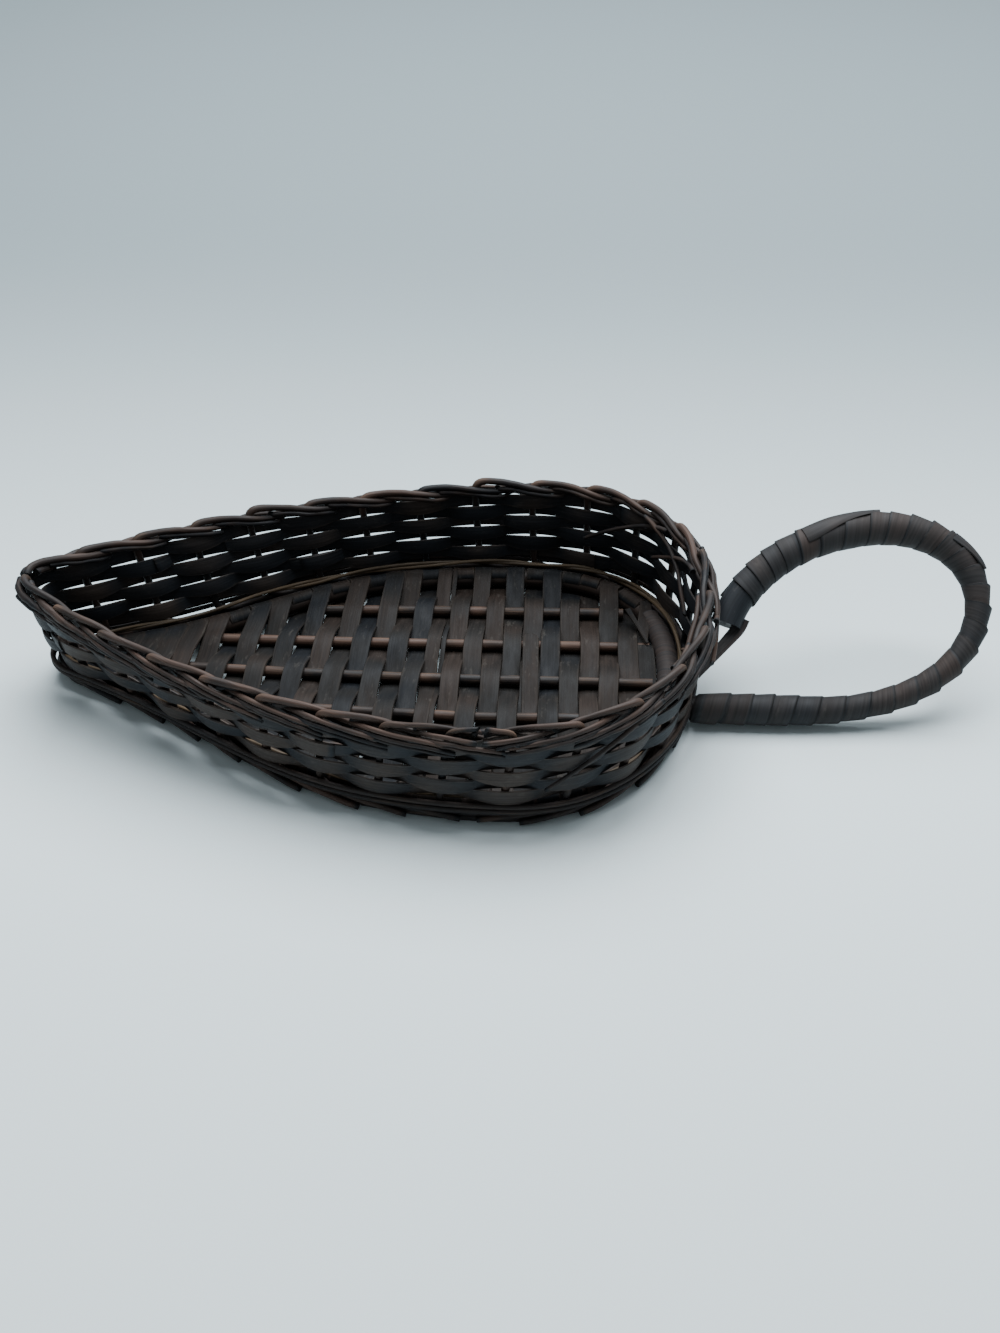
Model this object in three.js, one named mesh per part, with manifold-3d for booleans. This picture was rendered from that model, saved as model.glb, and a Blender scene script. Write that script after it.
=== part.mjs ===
// A leaf-shaped woven basket tray with a looped stem handle.
//
// X runs along the leaf, from its pointed tip to the round end that carries the handle,
// Y runs across it and Z is up. All lengths are millimetres.
// The base is a bent hoop, crossed by flat splints that weave over and under round ribs.
// Round stakes stand outside the hoop. Flat weavers go round them, in and out by turns,
// and at the top each stake is laid down along the rim, over its neighbours, as a border.

import * as THREE from 'three';
import Module from 'manifold-3d';

const wasm = await Module();
wasm.setup();

// The leaf outline that the stakes stand on, at the table and at the rim.
// tip and end are measured from the widest place. slantX and slantY give the straight run
// that leaves the tip, and shoulder is the run of full width beside the widest place. The
// drifts are how far the bent outline's tip and round end have moved aside.
const FOOT_LEAF = {
  tip: 227, half: 96.5, end: 85, slantX: 100, slantY: 35, shoulder: 112, tipDrift: 12, endDrift: 12,
};
const RIM_LEAF = {
  tip: 236, half: 101.5, end: 94, slantX: 66, slantY: 53, shoulder: 68, tipDrift: 0, endDrift: 0,
};
const TIP_ROUNDING = 15;
const END_FULLNESS = 0.62;

// Heights of the rim above the table.
const RIM_HEIGHT_AT_TIP = 66;
const RIM_HEIGHT_AT_MIDDLE = 57.5;
const RIM_HEIGHT_AT_END = 66;

// Clearance between pieces that touch on the real tray, and a little more where they bend.
const GAP = 0.3;
const SLACK = 0.2;

// Stakes, counted from the tip. Those up to LAST_FORWARD_STAKE are laid down the way they
// are counted and the others the other way, so that the laps start at the tip and meet.
const STAKE_COUNT = 28;
const LAST_FORWARD_STAKE = 8;
const STAKE_RADIUS = 1.9;
const ROD_SIDES = 5;

// Base hoop, its splints and its ribs.
const HOOP_RADIUS = 4.5;
const HOOP_SIDES = 8;
const HOOP_STEPS = 72;
const SPLINT_THICKNESS = 1.1;
const SPLINT_WIDTH = 8.9;
const SPLINT_PITCH = 9.8;
const SPLINT_COUNT = 26;
const FIRST_SPLINT_X = -188;
const SPLINT_SLANT = 0.17;
const RIB_RADIUS = 2.7;
const RIB_SIDES = 6;
const RIB_STEPS = 12;
const RIB_SPACING = 29;
const RIB_COUNT = 5;
const RIB_CONVERGENCE = 0.35;

// Flat strip bound round the bare end of the hoop.
const BINDING_WIDTH = 9;
const BINDING_THICKNESS = 1;
const BINDING_PITCH = 10.4;
const BINDING_TURN_STEPS = 8;

// Round waling rod and flat weavers of the wall.
const WALER_RADIUS = 1.4;
const WEAVER_COUNT = 6;
const WEAVER_THICKNESS = 1;

// Handle: a round core bent to a loop that leans over, bound with a flat strip.
const HANDLE_LEG_RADIUS = 6.2;
const HANDLE_BEND_RADIUS = 4.7;
const HANDLE_TOP_RADIUS = 6.8;
const HANDLE_CORE_SIDES = 10;
const HANDLE_CORE_STEPS = 48;
const HANDLE_LEG_END = 143;
const HANDLE_REACH = 225.5;
const HANDLE_REACH_RISE = 54;
const HANDLE_TOP_X = 181;
const HANDLE_TOP_RISE = 90.5;
const HANDLE_TILT = THREE.MathUtils.degToRad(45);
const HANDLE_SIDE = -22;
const HANDLE_LIFT = 0.5;
const HANDLE_SEAT_HEIGHT = 38;
const HANDLE_TURNS = 24;
const HANDLE_TURN_STEPS = 9;
const HANDLE_STRIP_THICKNESS = 1;
const HANDLE_STRIP_SEAT = 0.7;
const HANDLE_STRIP_SPACE = 0.8;
const STRAP_WIDTH = 7;
const STRAP_THICKNESS = 1;

const UP = new THREE.Vector3(0, 0, 1);

// Dark stained willow. The round rods are a little redder than the split strips.
const stained = (color, roughness) => new THREE.MeshStandardMaterial({ color, roughness, metalness: 0 });
const finishes = {
  rod: () => stained(0x5a4038, 0.6),
  stake: () => stained(0x54413a, 0.6),
  splint: () => stained(0x3a3633, 0.7),
  weaver: () => stained(0x33302f, 0.7),
  wrap: () => stained(0x35312f, 0.65),
};

// Closed body through a row of rings that all have the same number of corners.
function loft(rings, closed = false) {
  const sides = rings[0].length;
  const positions = rings.flat().flatMap((corner) => [corner.x, corner.y, corner.z]);
  const index = [];
  const bands = closed ? rings.length : rings.length - 1;
  for (let i = 0; i < bands; i += 1) {
    const near = i * sides;
    const far = ((i + 1) % rings.length) * sides;
    for (let j = 0; j < sides; j += 1) {
      const k = (j + 1) % sides;
      index.push(near + j, near + k, far + k);
      index.push(near + j, far + k, far + j);
    }
  }
  if (!closed) {
    const last = (rings.length - 1) * sides;
    for (let j = 1; j < sides - 1; j += 1) {
      index.push(0, j + 1, j);
      index.push(last, last + j, last + j + 1);
    }
  }
  const geometry = new THREE.BufferGeometry();
  geometry.setAttribute('position', new THREE.Float32BufferAttribute(positions, 3));
  geometry.setIndex(facingOut(positions, index));
  return geometry;
}

// The triangles as given, or turned round where they enclose a negative volume.
function facingOut(positions, index) {
  const corner = (i) => new THREE.Vector3().fromArray(positions, 3 * i);
  let volume = 0;
  for (let i = 0; i < index.length; i += 3) {
    const [a, b, c] = [index[i], index[i + 1], index[i + 2]].map(corner);
    volume += a.dot(b.cross(c));
  }
  return volume > 0 ? index : index.reverse();
}

// Directions of the two edges at each point of a path. The end points repeat their one edge.
function edgesAt(points, i, closed) {
  const count = points.length;
  const before = closed ? points[(i + count - 1) % count] : points[i - 1];
  const after = closed ? points[(i + 1) % count] : points[i + 1];
  const arriving = before && points[i].clone().sub(before).normalize();
  const leaving = after && after.clone().sub(points[i]).normalize();
  return [arriving ?? leaving, leaving ?? arriving];
}

// Round rod through the points. outward gives a direction square to the rod at each of them.
function rod(points, outward, radius, sides) {
  const rings = points.map((point, i) => {
    const [arriving, leaving] = edgesAt(points, i, false);
    const along = arriving.add(leaving).normalize();
    const out = outward[i].clone().addScaledVector(along, -along.dot(outward[i])).normalize();
    const across = along.clone().cross(out);
    return Array.from({ length: sides }, (_, j) => {
      const angle = (2 * Math.PI * j) / sides;
      return point.clone()
        .addScaledVector(out, radius * Math.cos(angle))
        .addScaledVector(across, radius * Math.sin(angle));
    });
  });
  return loft(rings);
}

// Flat strip through the points. halfWidths are vectors from its middle line to its edge.
// A bend is taken as it shows along the strip's width.
function strip(points, halfWidths, thickness) {
  const rings = points.map((point, i) => {
    const half = halfWidths[i];
    const across = half.clone().normalize();
    const [arriving, leaving] = edgesAt(points, i, false).map((edge) => (
      edge.clone().projectOnPlane(across).normalize()));
    const spread = Math.sqrt((1 + arriving.dot(leaving)) / 2);
    const along = arriving.add(leaving).normalize();
    const face = half.clone().cross(along).normalize().multiplyScalar(thickness / 2 / spread);
    return [
      point.clone().add(half).add(face),
      point.clone().add(half).sub(face),
      point.clone().sub(half).sub(face),
      point.clone().sub(half).add(face),
    ];
  });
  return loft(rings);
}

// Outline of a leaf, anticlockwise from its tip, as a closed row of equal steps. The leaf is
// drawn smaller by TIP_ROUNDING and moved out again, which rounds its tip.
function leafLine(leaf, offset, steps) {
  const tip = leaf.tip - TIP_ROUNDING;
  const half = leaf.half - TIP_ROUNDING;
  const end = leaf.end - TIP_ROUNDING;
  const at = (x, y) => new THREE.Vector2(x, y);
  const side = new THREE.CurvePath();
  side.add(new THREE.CubicBezierCurve(
    at(-tip, 0), at(leaf.slantX - tip, -leaf.slantY), at(-leaf.shoulder, -half), at(0, -half)));
  side.add(new THREE.CubicBezierCurve(
    at(0, -half), at(END_FULLNESS * end, -half), at(end, -END_FULLNESS * half), at(end, 0)));
  const outward = (u) => {
    const along = side.getTangent(u);
    return at(along.y, -along.x);
  };
  const reach = TIP_ROUNDING + offset;
  const arcSteps = 24;
  const sideSteps = 240;
  const lower = [];
  for (let i = 0; i < arcSteps; i += 1) {
    const angle = THREE.MathUtils.lerp(Math.PI, outward(0).angle(), i / arcSteps);
    lower.push(at(-tip + reach * Math.cos(angle), reach * Math.sin(angle)));
  }
  for (let i = 0; i <= sideSteps; i += 1) {
    lower.push(side.getPoint(i / sideSteps).addScaledVector(outward(i / sideSteps), reach));
  }
  const upper = lower.slice(1, -1).reverse().map((point) => at(point.x, -point.y));
  const outline = [...lower, ...upper].map((point) => at(point.x, point.y + driftAt(leaf, point.x)));
  return equalSteps(outline, steps);
}

// How far a leaf's middle line has moved aside at a place along it.
function driftAt(leaf, x) {
  return x < 0 ? leaf.tipDrift * (x / leaf.tip) ** 2 : leaf.endDrift * (x / leaf.end) ** 2;
}

// A closed row of points walked in equal steps.
function equalSteps(outline, steps) {
  const reached = [0];
  outline.forEach((point, i) => {
    reached.push(reached[i] + point.distanceTo(outline[(i + 1) % outline.length]));
  });
  const length = reached[outline.length];
  const line = [];
  let i = 0;
  for (let step = 0; step < steps; step += 1) {
    const goal = (length * step) / steps;
    while (reached[i + 1] < goal) {
      i += 1;
    }
    const share = (goal - reached[i]) / (reached[i + 1] - reached[i]);
    line.push(outline[i].clone().lerp(outline[(i + 1) % outline.length], share));
  }
  return line;
}

// Outward directions of a closed line, lengthened at its corners so that an equal distance
// along all of them gives a line with parallel edges.
function mitres(line) {
  return line.map((_, i) => {
    const [arriving, leaving] = edgesAt(line, i, true);
    const out = new THREE.Vector2(arriving.y + leaving.y, -arriving.x - leaving.x).normalize();
    return out.divideScalar(Math.sqrt((1 + arriving.dot(leaving)) / 2));
  });
}

// Stations of the wall: one at each stake and one half way to the next.
const stationCount = 2 * STAKE_COUNT;
const footLine = leafLine(FOOT_LEAF, 0, stationCount);
const rimLine = leafLine(RIM_LEAF, 0, stationCount);
const wallNormals = mitres(footLine.map((point, i) => point.clone().add(rimLine[i])));

function rimHeightAt(x) {
  const middle = (RIM_LEAF.end - RIM_LEAF.tip) / 2;
  const share = (x - middle) / (RIM_LEAF.end - middle);
  const top = share < 0 ? RIM_HEIGHT_AT_TIP : RIM_HEIGHT_AT_END;
  return RIM_HEIGHT_AT_MIDDLE + (top - RIM_HEIGHT_AT_MIDDLE) * share * share;
}

const rimHeights = rimLine.map((point) => rimHeightAt(point.x));

// The two stations beside a place on the wall, and the share of the way between them.
function stationsBeside(station) {
  const turn = ((station % stationCount) + stationCount) % stationCount;
  const i = Math.floor(turn);
  return [i, (i + 1) % stationCount, turn - i];
}

function rimHeight(station) {
  const [i, j, share] = stationsBeside(station);
  return THREE.MathUtils.lerp(rimHeights[i], rimHeights[j], share);
}

// Place on the wall: z above the table and out, the distance outwards from the stakes' line.
function wallPoint(station, z, out) {
  const [i, j, share] = stationsBeside(station);
  const at = (k) => footLine[k].clone()
    .lerp(rimLine[k], z / rimHeights[k])
    .addScaledVector(wallNormals[k], out);
  const place = at(i).lerp(at(j), share);
  return new THREE.Vector3(place.x, place.y, z);
}

function wallOutward(station) {
  const [i, j, share] = stationsBeside(station);
  const out = wallNormals[i].clone().lerp(wallNormals[j], share).normalize();
  return new THREE.Vector3(out.x, out.y, 0);
}

// Laps of a stake's two ends. spacing counts stakes along the wall, from where the stake
// stands to the lap's cut end. The rest is counted in the stake's radius: drop down from the
// rim, rise up from the table and out outwards. Along the rim a stake goes behind the next
// one, comes out under that one's lap, goes in front of the second and ends at the third.
const borderLap = [
  { spacing: 0, drop: 2.95, out: 0 },
  { spacing: 0.04, drop: 1.5, out: 0 },
  { spacing: 0.12, drop: 0.75, out: 0 },
  { spacing: 0.25, drop: 0.55, out: -0.1 },
  { spacing: 0.5, drop: 0.45, out: -0.7 },
  { spacing: 0.75, drop: 0.65, out: -1.5 },
  { spacing: 1, drop: 1.3, out: -2.3 },
  { spacing: 1.12, drop: 1.7, out: -2.2 },
  { spacing: 1.25, drop: 2.15, out: -1.85 },
  { spacing: 1.5, drop: 2.65, out: -0.9 },
  { spacing: 1.75, drop: 2.25, out: 1 },
  { spacing: 2, drop: 2, out: 2.5 },
  { spacing: 2.25, drop: 2.5, out: 3.05 },
  { spacing: 2.5, drop: 3.1, out: 3.1 },
  { spacing: 3, drop: 4.35, out: 3.15 },
  { spacing: 3.15, drop: 4.6, out: 3.15 },
];
const footLap = [
  { spacing: 0, rise: 5.79, out: 0 },
  { spacing: 0.2, rise: 4.32, out: 0.37 },
  { spacing: 0.5, rise: 3.68, out: 1.26 },
  { spacing: 1, rise: 2.95, out: 2.58 },
  { spacing: 1.5, rise: 1.68, out: 3.05 },
  { spacing: 1.75, rise: 1.21, out: 3.1 },
];

// Rods that start the border at the tip. Their laps are those of stakes that would stand
// before the first one or past the last one, from a little beside the tip onwards.
const tipRods = [-2, -1, STAKE_COUNT, STAKE_COUNT + 1, STAKE_COUNT + 2];
const tipRodStart = 0.2;

// Laps from both sides end a little short of the place where they meet.
const meeting = LAST_FORWARD_STAKE + 0.5;
const meetingRoom = 0.06;

// The splints wrap the hoop along an outline of flats that clear it by GAP.
const wrapStep = THREE.MathUtils.degToRad(55);
const wrapUnderside = -Math.PI / 2 - wrapStep / 2;
const wrapTop = wrapUnderside + 4 * wrapStep;
const wrapMiddle = HOOP_RADIUS + GAP + SPLINT_THICKNESS / 2;
const wrapCorner = wrapMiddle / Math.cos(wrapStep / 2);
const wrapReach = (wrapMiddle + SPLINT_THICKNESS / 2) / Math.cos(wrapStep / 2);
const hoopHeight = wrapMiddle + SPLINT_THICKNESS / 2;
const footBend = footLap[1];
const hoopInset = Math.sqrt(
  (wrapReach + GAP + STAKE_RADIUS) ** 2 - (footBend.rise * STAKE_RADIUS - hoopHeight) ** 2,
) - footBend.out * STAKE_RADIUS;
const hoopLine = leafLine(FOOT_LEAF, -hoopInset, HOOP_STEPS);
const hoopNormals = mitres(hoopLine);

// Place and outward direction on the hoop's centre line, by count of its steps.
function hoopAt(step) {
  const i = Math.floor(step);
  const share = step - i;
  const j = (i + 1) % HOOP_STEPS;
  const place = hoopLine[i].clone().lerp(hoopLine[j], share);
  const out = hoopNormals[i].clone().lerp(hoopNormals[j], share);
  return {
    place: new THREE.Vector3(place.x, place.y, hoopHeight),
    out: new THREE.Vector3(out.x, out.y, 0),
  };
}

function hoopRod() {
  const rings = hoopLine.map((_, i) => {
    const { place, out } = hoopAt(i);
    return Array.from({ length: HOOP_SIDES }, (_side, j) => {
      const angle = (2 * Math.PI * (j + 0.5)) / HOOP_SIDES;
      return place.clone()
        .addScaledVector(out, HOOP_RADIUS * Math.cos(angle))
        .addScaledVector(UP, HOOP_RADIUS * Math.sin(angle));
    });
  });
  return loft(rings, true);
}

// The ribs run the length of the base, close up a little towards the tip and stop at the hoop.

function ribY(rib, x) {
  const straight = (rib - (RIB_COUNT - 1) / 2) * RIB_SPACING;
  const share = Math.min(x, 0) / FOOT_LEAF.tip;
  return straight * (1 - RIB_CONVERGENCE * share * share) + driftAt(FOOT_LEAF, Math.min(x, 0));
}

// Distance of a place in the base from the hoop's centre line.
function distanceToHoop(x, y) {
  const place = new THREE.Vector2(x, y);
  const distances = hoopLine.map((point, i) => {
    const edge = hoopLine[(i + 1) % HOOP_STEPS].clone().sub(point);
    const along = place.clone().sub(point).dot(edge) / edge.lengthSq();
    return place.distanceTo(edge.multiplyScalar(THREE.MathUtils.clamp(along, 0, 1)).add(point));
  });
  return Math.min(...distances);
}

function ribEnd(rib, direction) {
  const clear = (x) => [-RIB_RADIUS, RIB_RADIUS].every((side) => (
    distanceToHoop(x, ribY(rib, x) + side) > wrapReach + GAP));
  let x = 0;
  while (clear(x + direction)) {
    x += direction;
  }
  return x;
}

const ribs = Array.from({ length: RIB_COUNT }, (_, rib) => ({
  rib,
  from: ribEnd(rib, -1),
  to: ribEnd(rib, 1),
}));

function ribRod({ rib, from, to }) {
  const points = [];
  for (let i = 0; i <= RIB_STEPS; i += 1) {
    const x = THREE.MathUtils.lerp(from, to, i / RIB_STEPS);
    points.push(new THREE.Vector3(x, ribY(rib, x), hoopHeight));
  }
  return rod(points, points.map(() => UP), RIB_RADIUS, RIB_SIDES);
}

// The splints cross the base. Towards the tip they slant a little more with each one.
const splintRise = RIB_RADIUS + GAP + SLACK + SPLINT_THICKNESS / 2;
const turningRoom = 26;

function splintLine(number) {
  const x = FIRST_SPLINT_X + number * SPLINT_PITCH;
  const slant = SPLINT_SLANT * Math.max(0, x / FIRST_SPLINT_X);
  return { x, slant, across: new THREE.Vector3(1, -slant, 0).normalize() };
}

// Where a splint comes down on the hoop or comes up under it: on the near side first, then
// on the far side. angle is the place round the hoop where the splint meets it.
function hoopCrossings({ x, slant }, angle) {
  const line = hoopLine.map((point, i) => (
    point.clone().addScaledVector(hoopNormals[i], wrapCorner * Math.cos(angle))));
  const ahead = (point) => point.x - slant * point.y - x;
  const found = [];
  line.forEach((point, i) => {
    const next = line[(i + 1) % HOOP_STEPS];
    if (ahead(point) * ahead(next) <= 0) {
      found.push(i + ahead(point) / (ahead(point) - ahead(next)));
    }
  });
  return found.sort((a, b) => hoopAt(a).place.y - hoopAt(b).place.y);
}

// A splint's end: over or under the hoop, round its outside and back into the rod.
function wrapRound(step, across, over) {
  const { place, out } = hoopAt(step);
  out.normalize();
  const along = new THREE.Vector3(-out.y, out.x, 0);
  along.multiplyScalar(SPLINT_WIDTH / 2 / along.dot(across));
  const at = (angle, radius) => place.clone()
    .addScaledVector(out, radius * Math.cos(angle))
    .addScaledVector(UP, radius * Math.sin(angle));
  const corners = over ? [4, 3, 2, 1, 0] : [0, 1, 2, 3, 4];
  const points = corners.map((count) => at(wrapUnderside + count * wrapStep, wrapCorner));
  const tail = over ? wrapUnderside - wrapStep / 2 : wrapTop + wrapStep / 2;
  points.push(at(tail, HOOP_RADIUS / 2));
  return points.map((point) => ({ point, half: along }));
}

// The ribs that a splint crosses, from the near side to the far side, and which of them it
// goes over. It takes the hoop in turn with them, but a rib close to the hoop is taken the
// same way as the hoop, because there is no room to change.
function splintCrossings(number, line) {
  const [near, far] = hoopCrossings(line, wrapTop).map((step) => hoopAt(step).place.y);
  const crossed = [];
  ribs.forEach(({ rib, from, to }) => {
    const y = ribY(rib, line.x + line.slant * ribY(rib, line.x));
    const x = line.x + line.slant * y;
    if (x > from - SPLINT_WIDTH / 2 - GAP && x < to + SPLINT_WIDTH / 2 + GAP) {
      crossed.push({ x, y, over: (number + rib) % 2 === 0, room: Math.min(far - y, y - near) });
    }
  });
  const free = crossed.filter(({ room }) => room >= turningRoom);
  const nearOver = free.length === 0 || !free[0].over;
  const farOver = free.length === 0 || !free[free.length - 1].over;
  crossed.filter(({ room }) => room < turningRoom).forEach((crossing) => {
    crossing.over = crossing.y < (near + far) / 2 ? nearOver : farOver;
  });
  return { crossed, nearOver, farOver };
}

function splint(number) {
  const line = splintLine(number);
  const { crossed, nearOver, farOver } = splintCrossings(number, line);
  const meets = (over) => hoopCrossings(line, over ? wrapTop : wrapUnderside);
  const edge = line.across.clone().multiplyScalar(SPLINT_WIDTH / 2);
  const middle = crossed.map(({ x, y, over }) => ({
    point: new THREE.Vector3(x, y, hoopHeight + (over ? splintRise : -splintRise)),
    half: edge,
  }));
  const path = [
    ...wrapRound(meets(nearOver)[0], line.across, nearOver).reverse(),
    ...middle,
    ...wrapRound(meets(farOver)[1], line.across, farOver),
  ];
  return strip(path.map(({ point }) => point), path.map(({ half }) => half), SPLINT_THICKNESS);
}

function toSolid(geometry) {
  const mesh = new wasm.Mesh({
    numProp: 3,
    vertProperties: new Float32Array(geometry.getAttribute('position').array),
    triVerts: new Uint32Array(geometry.index.array),
  });
  return new wasm.Manifold(mesh);
}

function toGeometry(solid) {
  const mesh = solid.getMesh();
  const geometry = new THREE.BufferGeometry();
  geometry.setAttribute('position', new THREE.BufferAttribute(mesh.vertProperties, 3));
  geometry.setIndex(new THREE.BufferAttribute(mesh.triVerts, 1));
  return geometry;
}

// The hoop with every splint, whose tucked tails are fast in it.
function baseHoop() {
  let solid = toSolid(hoopRod());
  for (let number = 0; number < SPLINT_COUNT; number += 1) {
    solid = solid.add(toSolid(splint(number)));
  }
  return toGeometry(solid);
}

// Flat strip wound round the hoop where the splints end, one unbroken helix.
const bindingAngle = (2 * Math.PI) / BINDING_TURN_STEPS;
const bindingInner = (HOOP_RADIUS + GAP) / Math.cos(bindingAngle / 2);
const bindingOuter = bindingInner + BINDING_THICKNESS / Math.cos(bindingAngle / 2);

// The first place past the last splint, from one of its crossings, where the strip is clear.
function bindingStart(crossing, direction) {
  const limit = splintLine(SPLINT_COUNT - 1).x + SPLINT_WIDTH / 2 + GAP;
  const reach = Math.hypot(bindingOuter, BINDING_WIDTH / 2);
  let step = crossing;
  let innermost = -Infinity;
  while (innermost < limit) {
    step += direction / 20;
    const { place, out } = hoopAt(step);
    const across = Math.abs(bindingOuter * out.x) + Math.abs((BINDING_WIDTH / 2) * out.y);
    innermost = place.x - Math.min(reach, across);
  }
  return step;
}

function hoopBinding() {
  const [near, far] = hoopCrossings(splintLine(SPLINT_COUNT - 1), wrapTop);
  const stepLength = hoopLine[0].distanceTo(hoopLine[1]);
  const from = bindingStart(near, 1);
  const to = bindingStart(far, -1);
  const turns = Math.floor(((to - from) * stepLength) / BINDING_PITCH);
  const rings = [];
  for (let i = 0; i <= turns * BINDING_TURN_STEPS; i += 1) {
    const angle = -Math.PI / 2 + (i + 0.5) * bindingAngle;
    const step = THREE.MathUtils.lerp(from, to, i / (turns * BINDING_TURN_STEPS));
    const corner = (edge, radius) => {
      const { place, out } = hoopAt(step + (edge * BINDING_WIDTH) / 2 / stepLength);
      return place.addScaledVector(out, radius * Math.cos(angle))
        .addScaledVector(UP, radius * Math.sin(angle));
    };
    rings.push([
      corner(-1, bindingInner),
      corner(-1, bindingOuter),
      corner(1, bindingOuter),
      corner(1, bindingInner),
    ]);
  }
  return loft(rings);
}

// A lap's station, and its place on the wall, for the stake with this number.
function lapStation(number, spacing) {
  return 2 * (number + (number > LAST_FORWARD_STAKE ? -spacing : spacing));
}

function lapPoint(number, { spacing, rise, drop, out }) {
  const station = lapStation(number, spacing);
  const z = rise === undefined
    ? rimHeight(station) - drop * STAKE_RADIUS
    : rise * STAKE_RADIUS;
  return wallPoint(station, z, out * STAKE_RADIUS);
}

// The part of a lap between two counts of stakes, with new ends between its places.
function cutLap(lap, from, to) {
  const places = lap.filter(({ spacing }) => spacing > from && spacing < to);
  const ends = [from, to].map((spacing) => {
    const next = Math.max(1, lap.findIndex((place) => place.spacing >= spacing));
    const [a, b] = [lap[next - 1], lap[next]];
    const share = (spacing - a.spacing) / (b.spacing - a.spacing);
    const place = {};
    Object.keys(a).forEach((key) => {
      place[key] = THREE.MathUtils.lerp(a[key], b[key], share);
    });
    return place;
  });
  return [ends[0], ...places, ends[1]];
}

// How many stakes a lap reaches along before its own end or the meeting place.
function lapReach(number, lap) {
  return Math.min(lap[lap.length - 1].spacing, Math.abs(meeting - number) - meetingRoom);
}

function lappedRod(number, laps) {
  const points = laps.map((lap) => lapPoint(number, lap));
  const outward = laps.map(({ spacing }) => wallOutward(lapStation(number, spacing)));
  return rod(points, outward, STAKE_RADIUS, ROD_SIDES);
}

function stakeFoot(number) {
  return cutLap(footLap, 0, lapReach(number, footLap)).reverse();
}

function stake(number) {
  const border = cutLap(borderLap, 0, lapReach(number, borderLap));
  return lappedRod(number, [...stakeFoot(number), ...border]);
}

function tipRod(number) {
  const tip = number < 0 ? -number : number - STAKE_COUNT;
  return lappedRod(number, cutLap(borderLap, tip + tipRodStart, lapReach(number, borderLap)));
}

// Round rod woven in and out, so low that it lies on the wrapped hoop where it is inside.
const walerSway = STAKE_RADIUS + GAP + SLACK + WALER_RADIUS;
const walerHeight = hoopHeight + Math.max(...footLine.map((_, station) => {
  const inside = wallPoint(station, hoopHeight + wrapReach, -walerSway);
  const apart = Math.min(distanceToHoop(inside.x, inside.y), wrapReach);
  const rise = Math.sqrt((wrapReach + GAP + WALER_RADIUS) ** 2 - apart ** 2);
  const overSplints = station % 4 === 2 && inside.x > FIRST_SPLINT_X;
  return overSplints ? rise : 0;
}));

function walingRod() {
  const rings = footLine.map((_, station) => {
    const out = walerSway * Math.cos((Math.PI * station) / 2);
    return Array.from({ length: ROD_SIDES }, (_side, j) => {
      const angle = (2 * Math.PI * j) / ROD_SIDES;
      const z = walerHeight + WALER_RADIUS * Math.sin(angle);
      return wallPoint(station, z, out + WALER_RADIUS * Math.cos(angle));
    });
  });
  return loft(rings, true);
}

// The weavers share the height between the waling rod and the border. A weaver spreads
// where it passes a stake and is pinched half way to the next, where it changes sides.
const spread = 1.35;
const pinch = 0.84;
const borderDepth = 3 * STAKE_RADIUS + GAP;
const weaverBottom = walerHeight + WALER_RADIUS + GAP + SLACK;
const weaverSway = STAKE_RADIUS + GAP + SLACK + WEAVER_THICKNESS / 2;

// Middle height, half width and distance outwards of a weaver at a place along the wall.
function weaverAt(number, station) {
  const height = rimHeight(station) - borderDepth - weaverBottom;
  const pitch = height / (WEAVER_COUNT - 1 + (pinch + spread) / 2);
  const passed = (station / 2 + number) % 2;
  const inside = 2 * Math.abs(passed - 1) - 1;
  return {
    z: weaverBottom + pitch * (number + pinch / 2),
    half: (pitch * THREE.MathUtils.lerp(pinch, spread, Math.abs(inside))) / 2,
    out: -inside * weaverSway,
  };
}

function wallWeaver(number) {
  const rings = footLine.map((_, station) => {
    const { z, half, out } = weaverAt(number, station);
    const corner = (up, face) => wallPoint(
      station, z + up * half, out + (face * WEAVER_THICKNESS) / 2);
    return [corner(1, 1), corner(-1, 1), corner(-1, -1), corner(1, -1)];
  });
  return loft(rings, true);
}

// How far along X the round end of the wall reaches against a disc that faces it.
function wallReach(y, z, radius) {
  let reach = -Infinity;
  const meet = (place, thickness) => {
    const beside = Math.max(0, Math.hypot(place.y - y, place.z - z) - radius);
    if (place.x > 0 && beside <= thickness) {
      reach = Math.max(reach, place.x + Math.sqrt(thickness ** 2 - beside ** 2));
    }
  };
  for (let number = 0; number < STAKE_COUNT; number += 1) {
    const laps = stakeFoot(number);
    for (let i = 1; i < laps.length; i += 1) {
      const [from, to] = [laps[i - 1], laps[i]].map((lap) => lapPoint(number, lap));
      for (let share = 0; share <= 1; share += 0.1) {
        meet(from.clone().lerp(to, share), STAKE_RADIUS);
      }
    }
  }
  for (let number = 0; number < WEAVER_COUNT; number += 1) {
    for (let station = 0; station < stationCount; station += 0.1) {
      const { z: middle, half, out } = weaverAt(number, station);
      [-1, 0, 1].forEach((up) => {
        meet(wallPoint(station, middle + up * half, out), WEAVER_THICKNESS / 2);
      });
    }
  }
  return reach;
}

// Handle. Its loop lies in a plane that leans over by HANDLE_TILT about the lower leg.
const handleStripAngle = (2 * Math.PI) / HANDLE_TURN_STEPS;
const handleStripInner = (core) => (core + HANDLE_STRIP_SEAT) / Math.cos(handleStripAngle / 2);
const handleStripOuter = (core) => (
  handleStripInner(core) + HANDLE_STRIP_THICKNESS / Math.cos(handleStripAngle / 2));
const handleLegReach = handleStripOuter(HANDLE_LEG_RADIUS);
const handleTopReach = handleStripOuter(HANDLE_TOP_RADIUS);
const handleLegHeight = HANDLE_LIFT + handleLegReach;

function onHandlePlane(x, rise) {
  return new THREE.Vector3(
    x,
    HANDLE_SIDE + rise * Math.cos(HANDLE_TILT),
    handleLegHeight + rise * Math.sin(HANDLE_TILT),
  );
}

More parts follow.
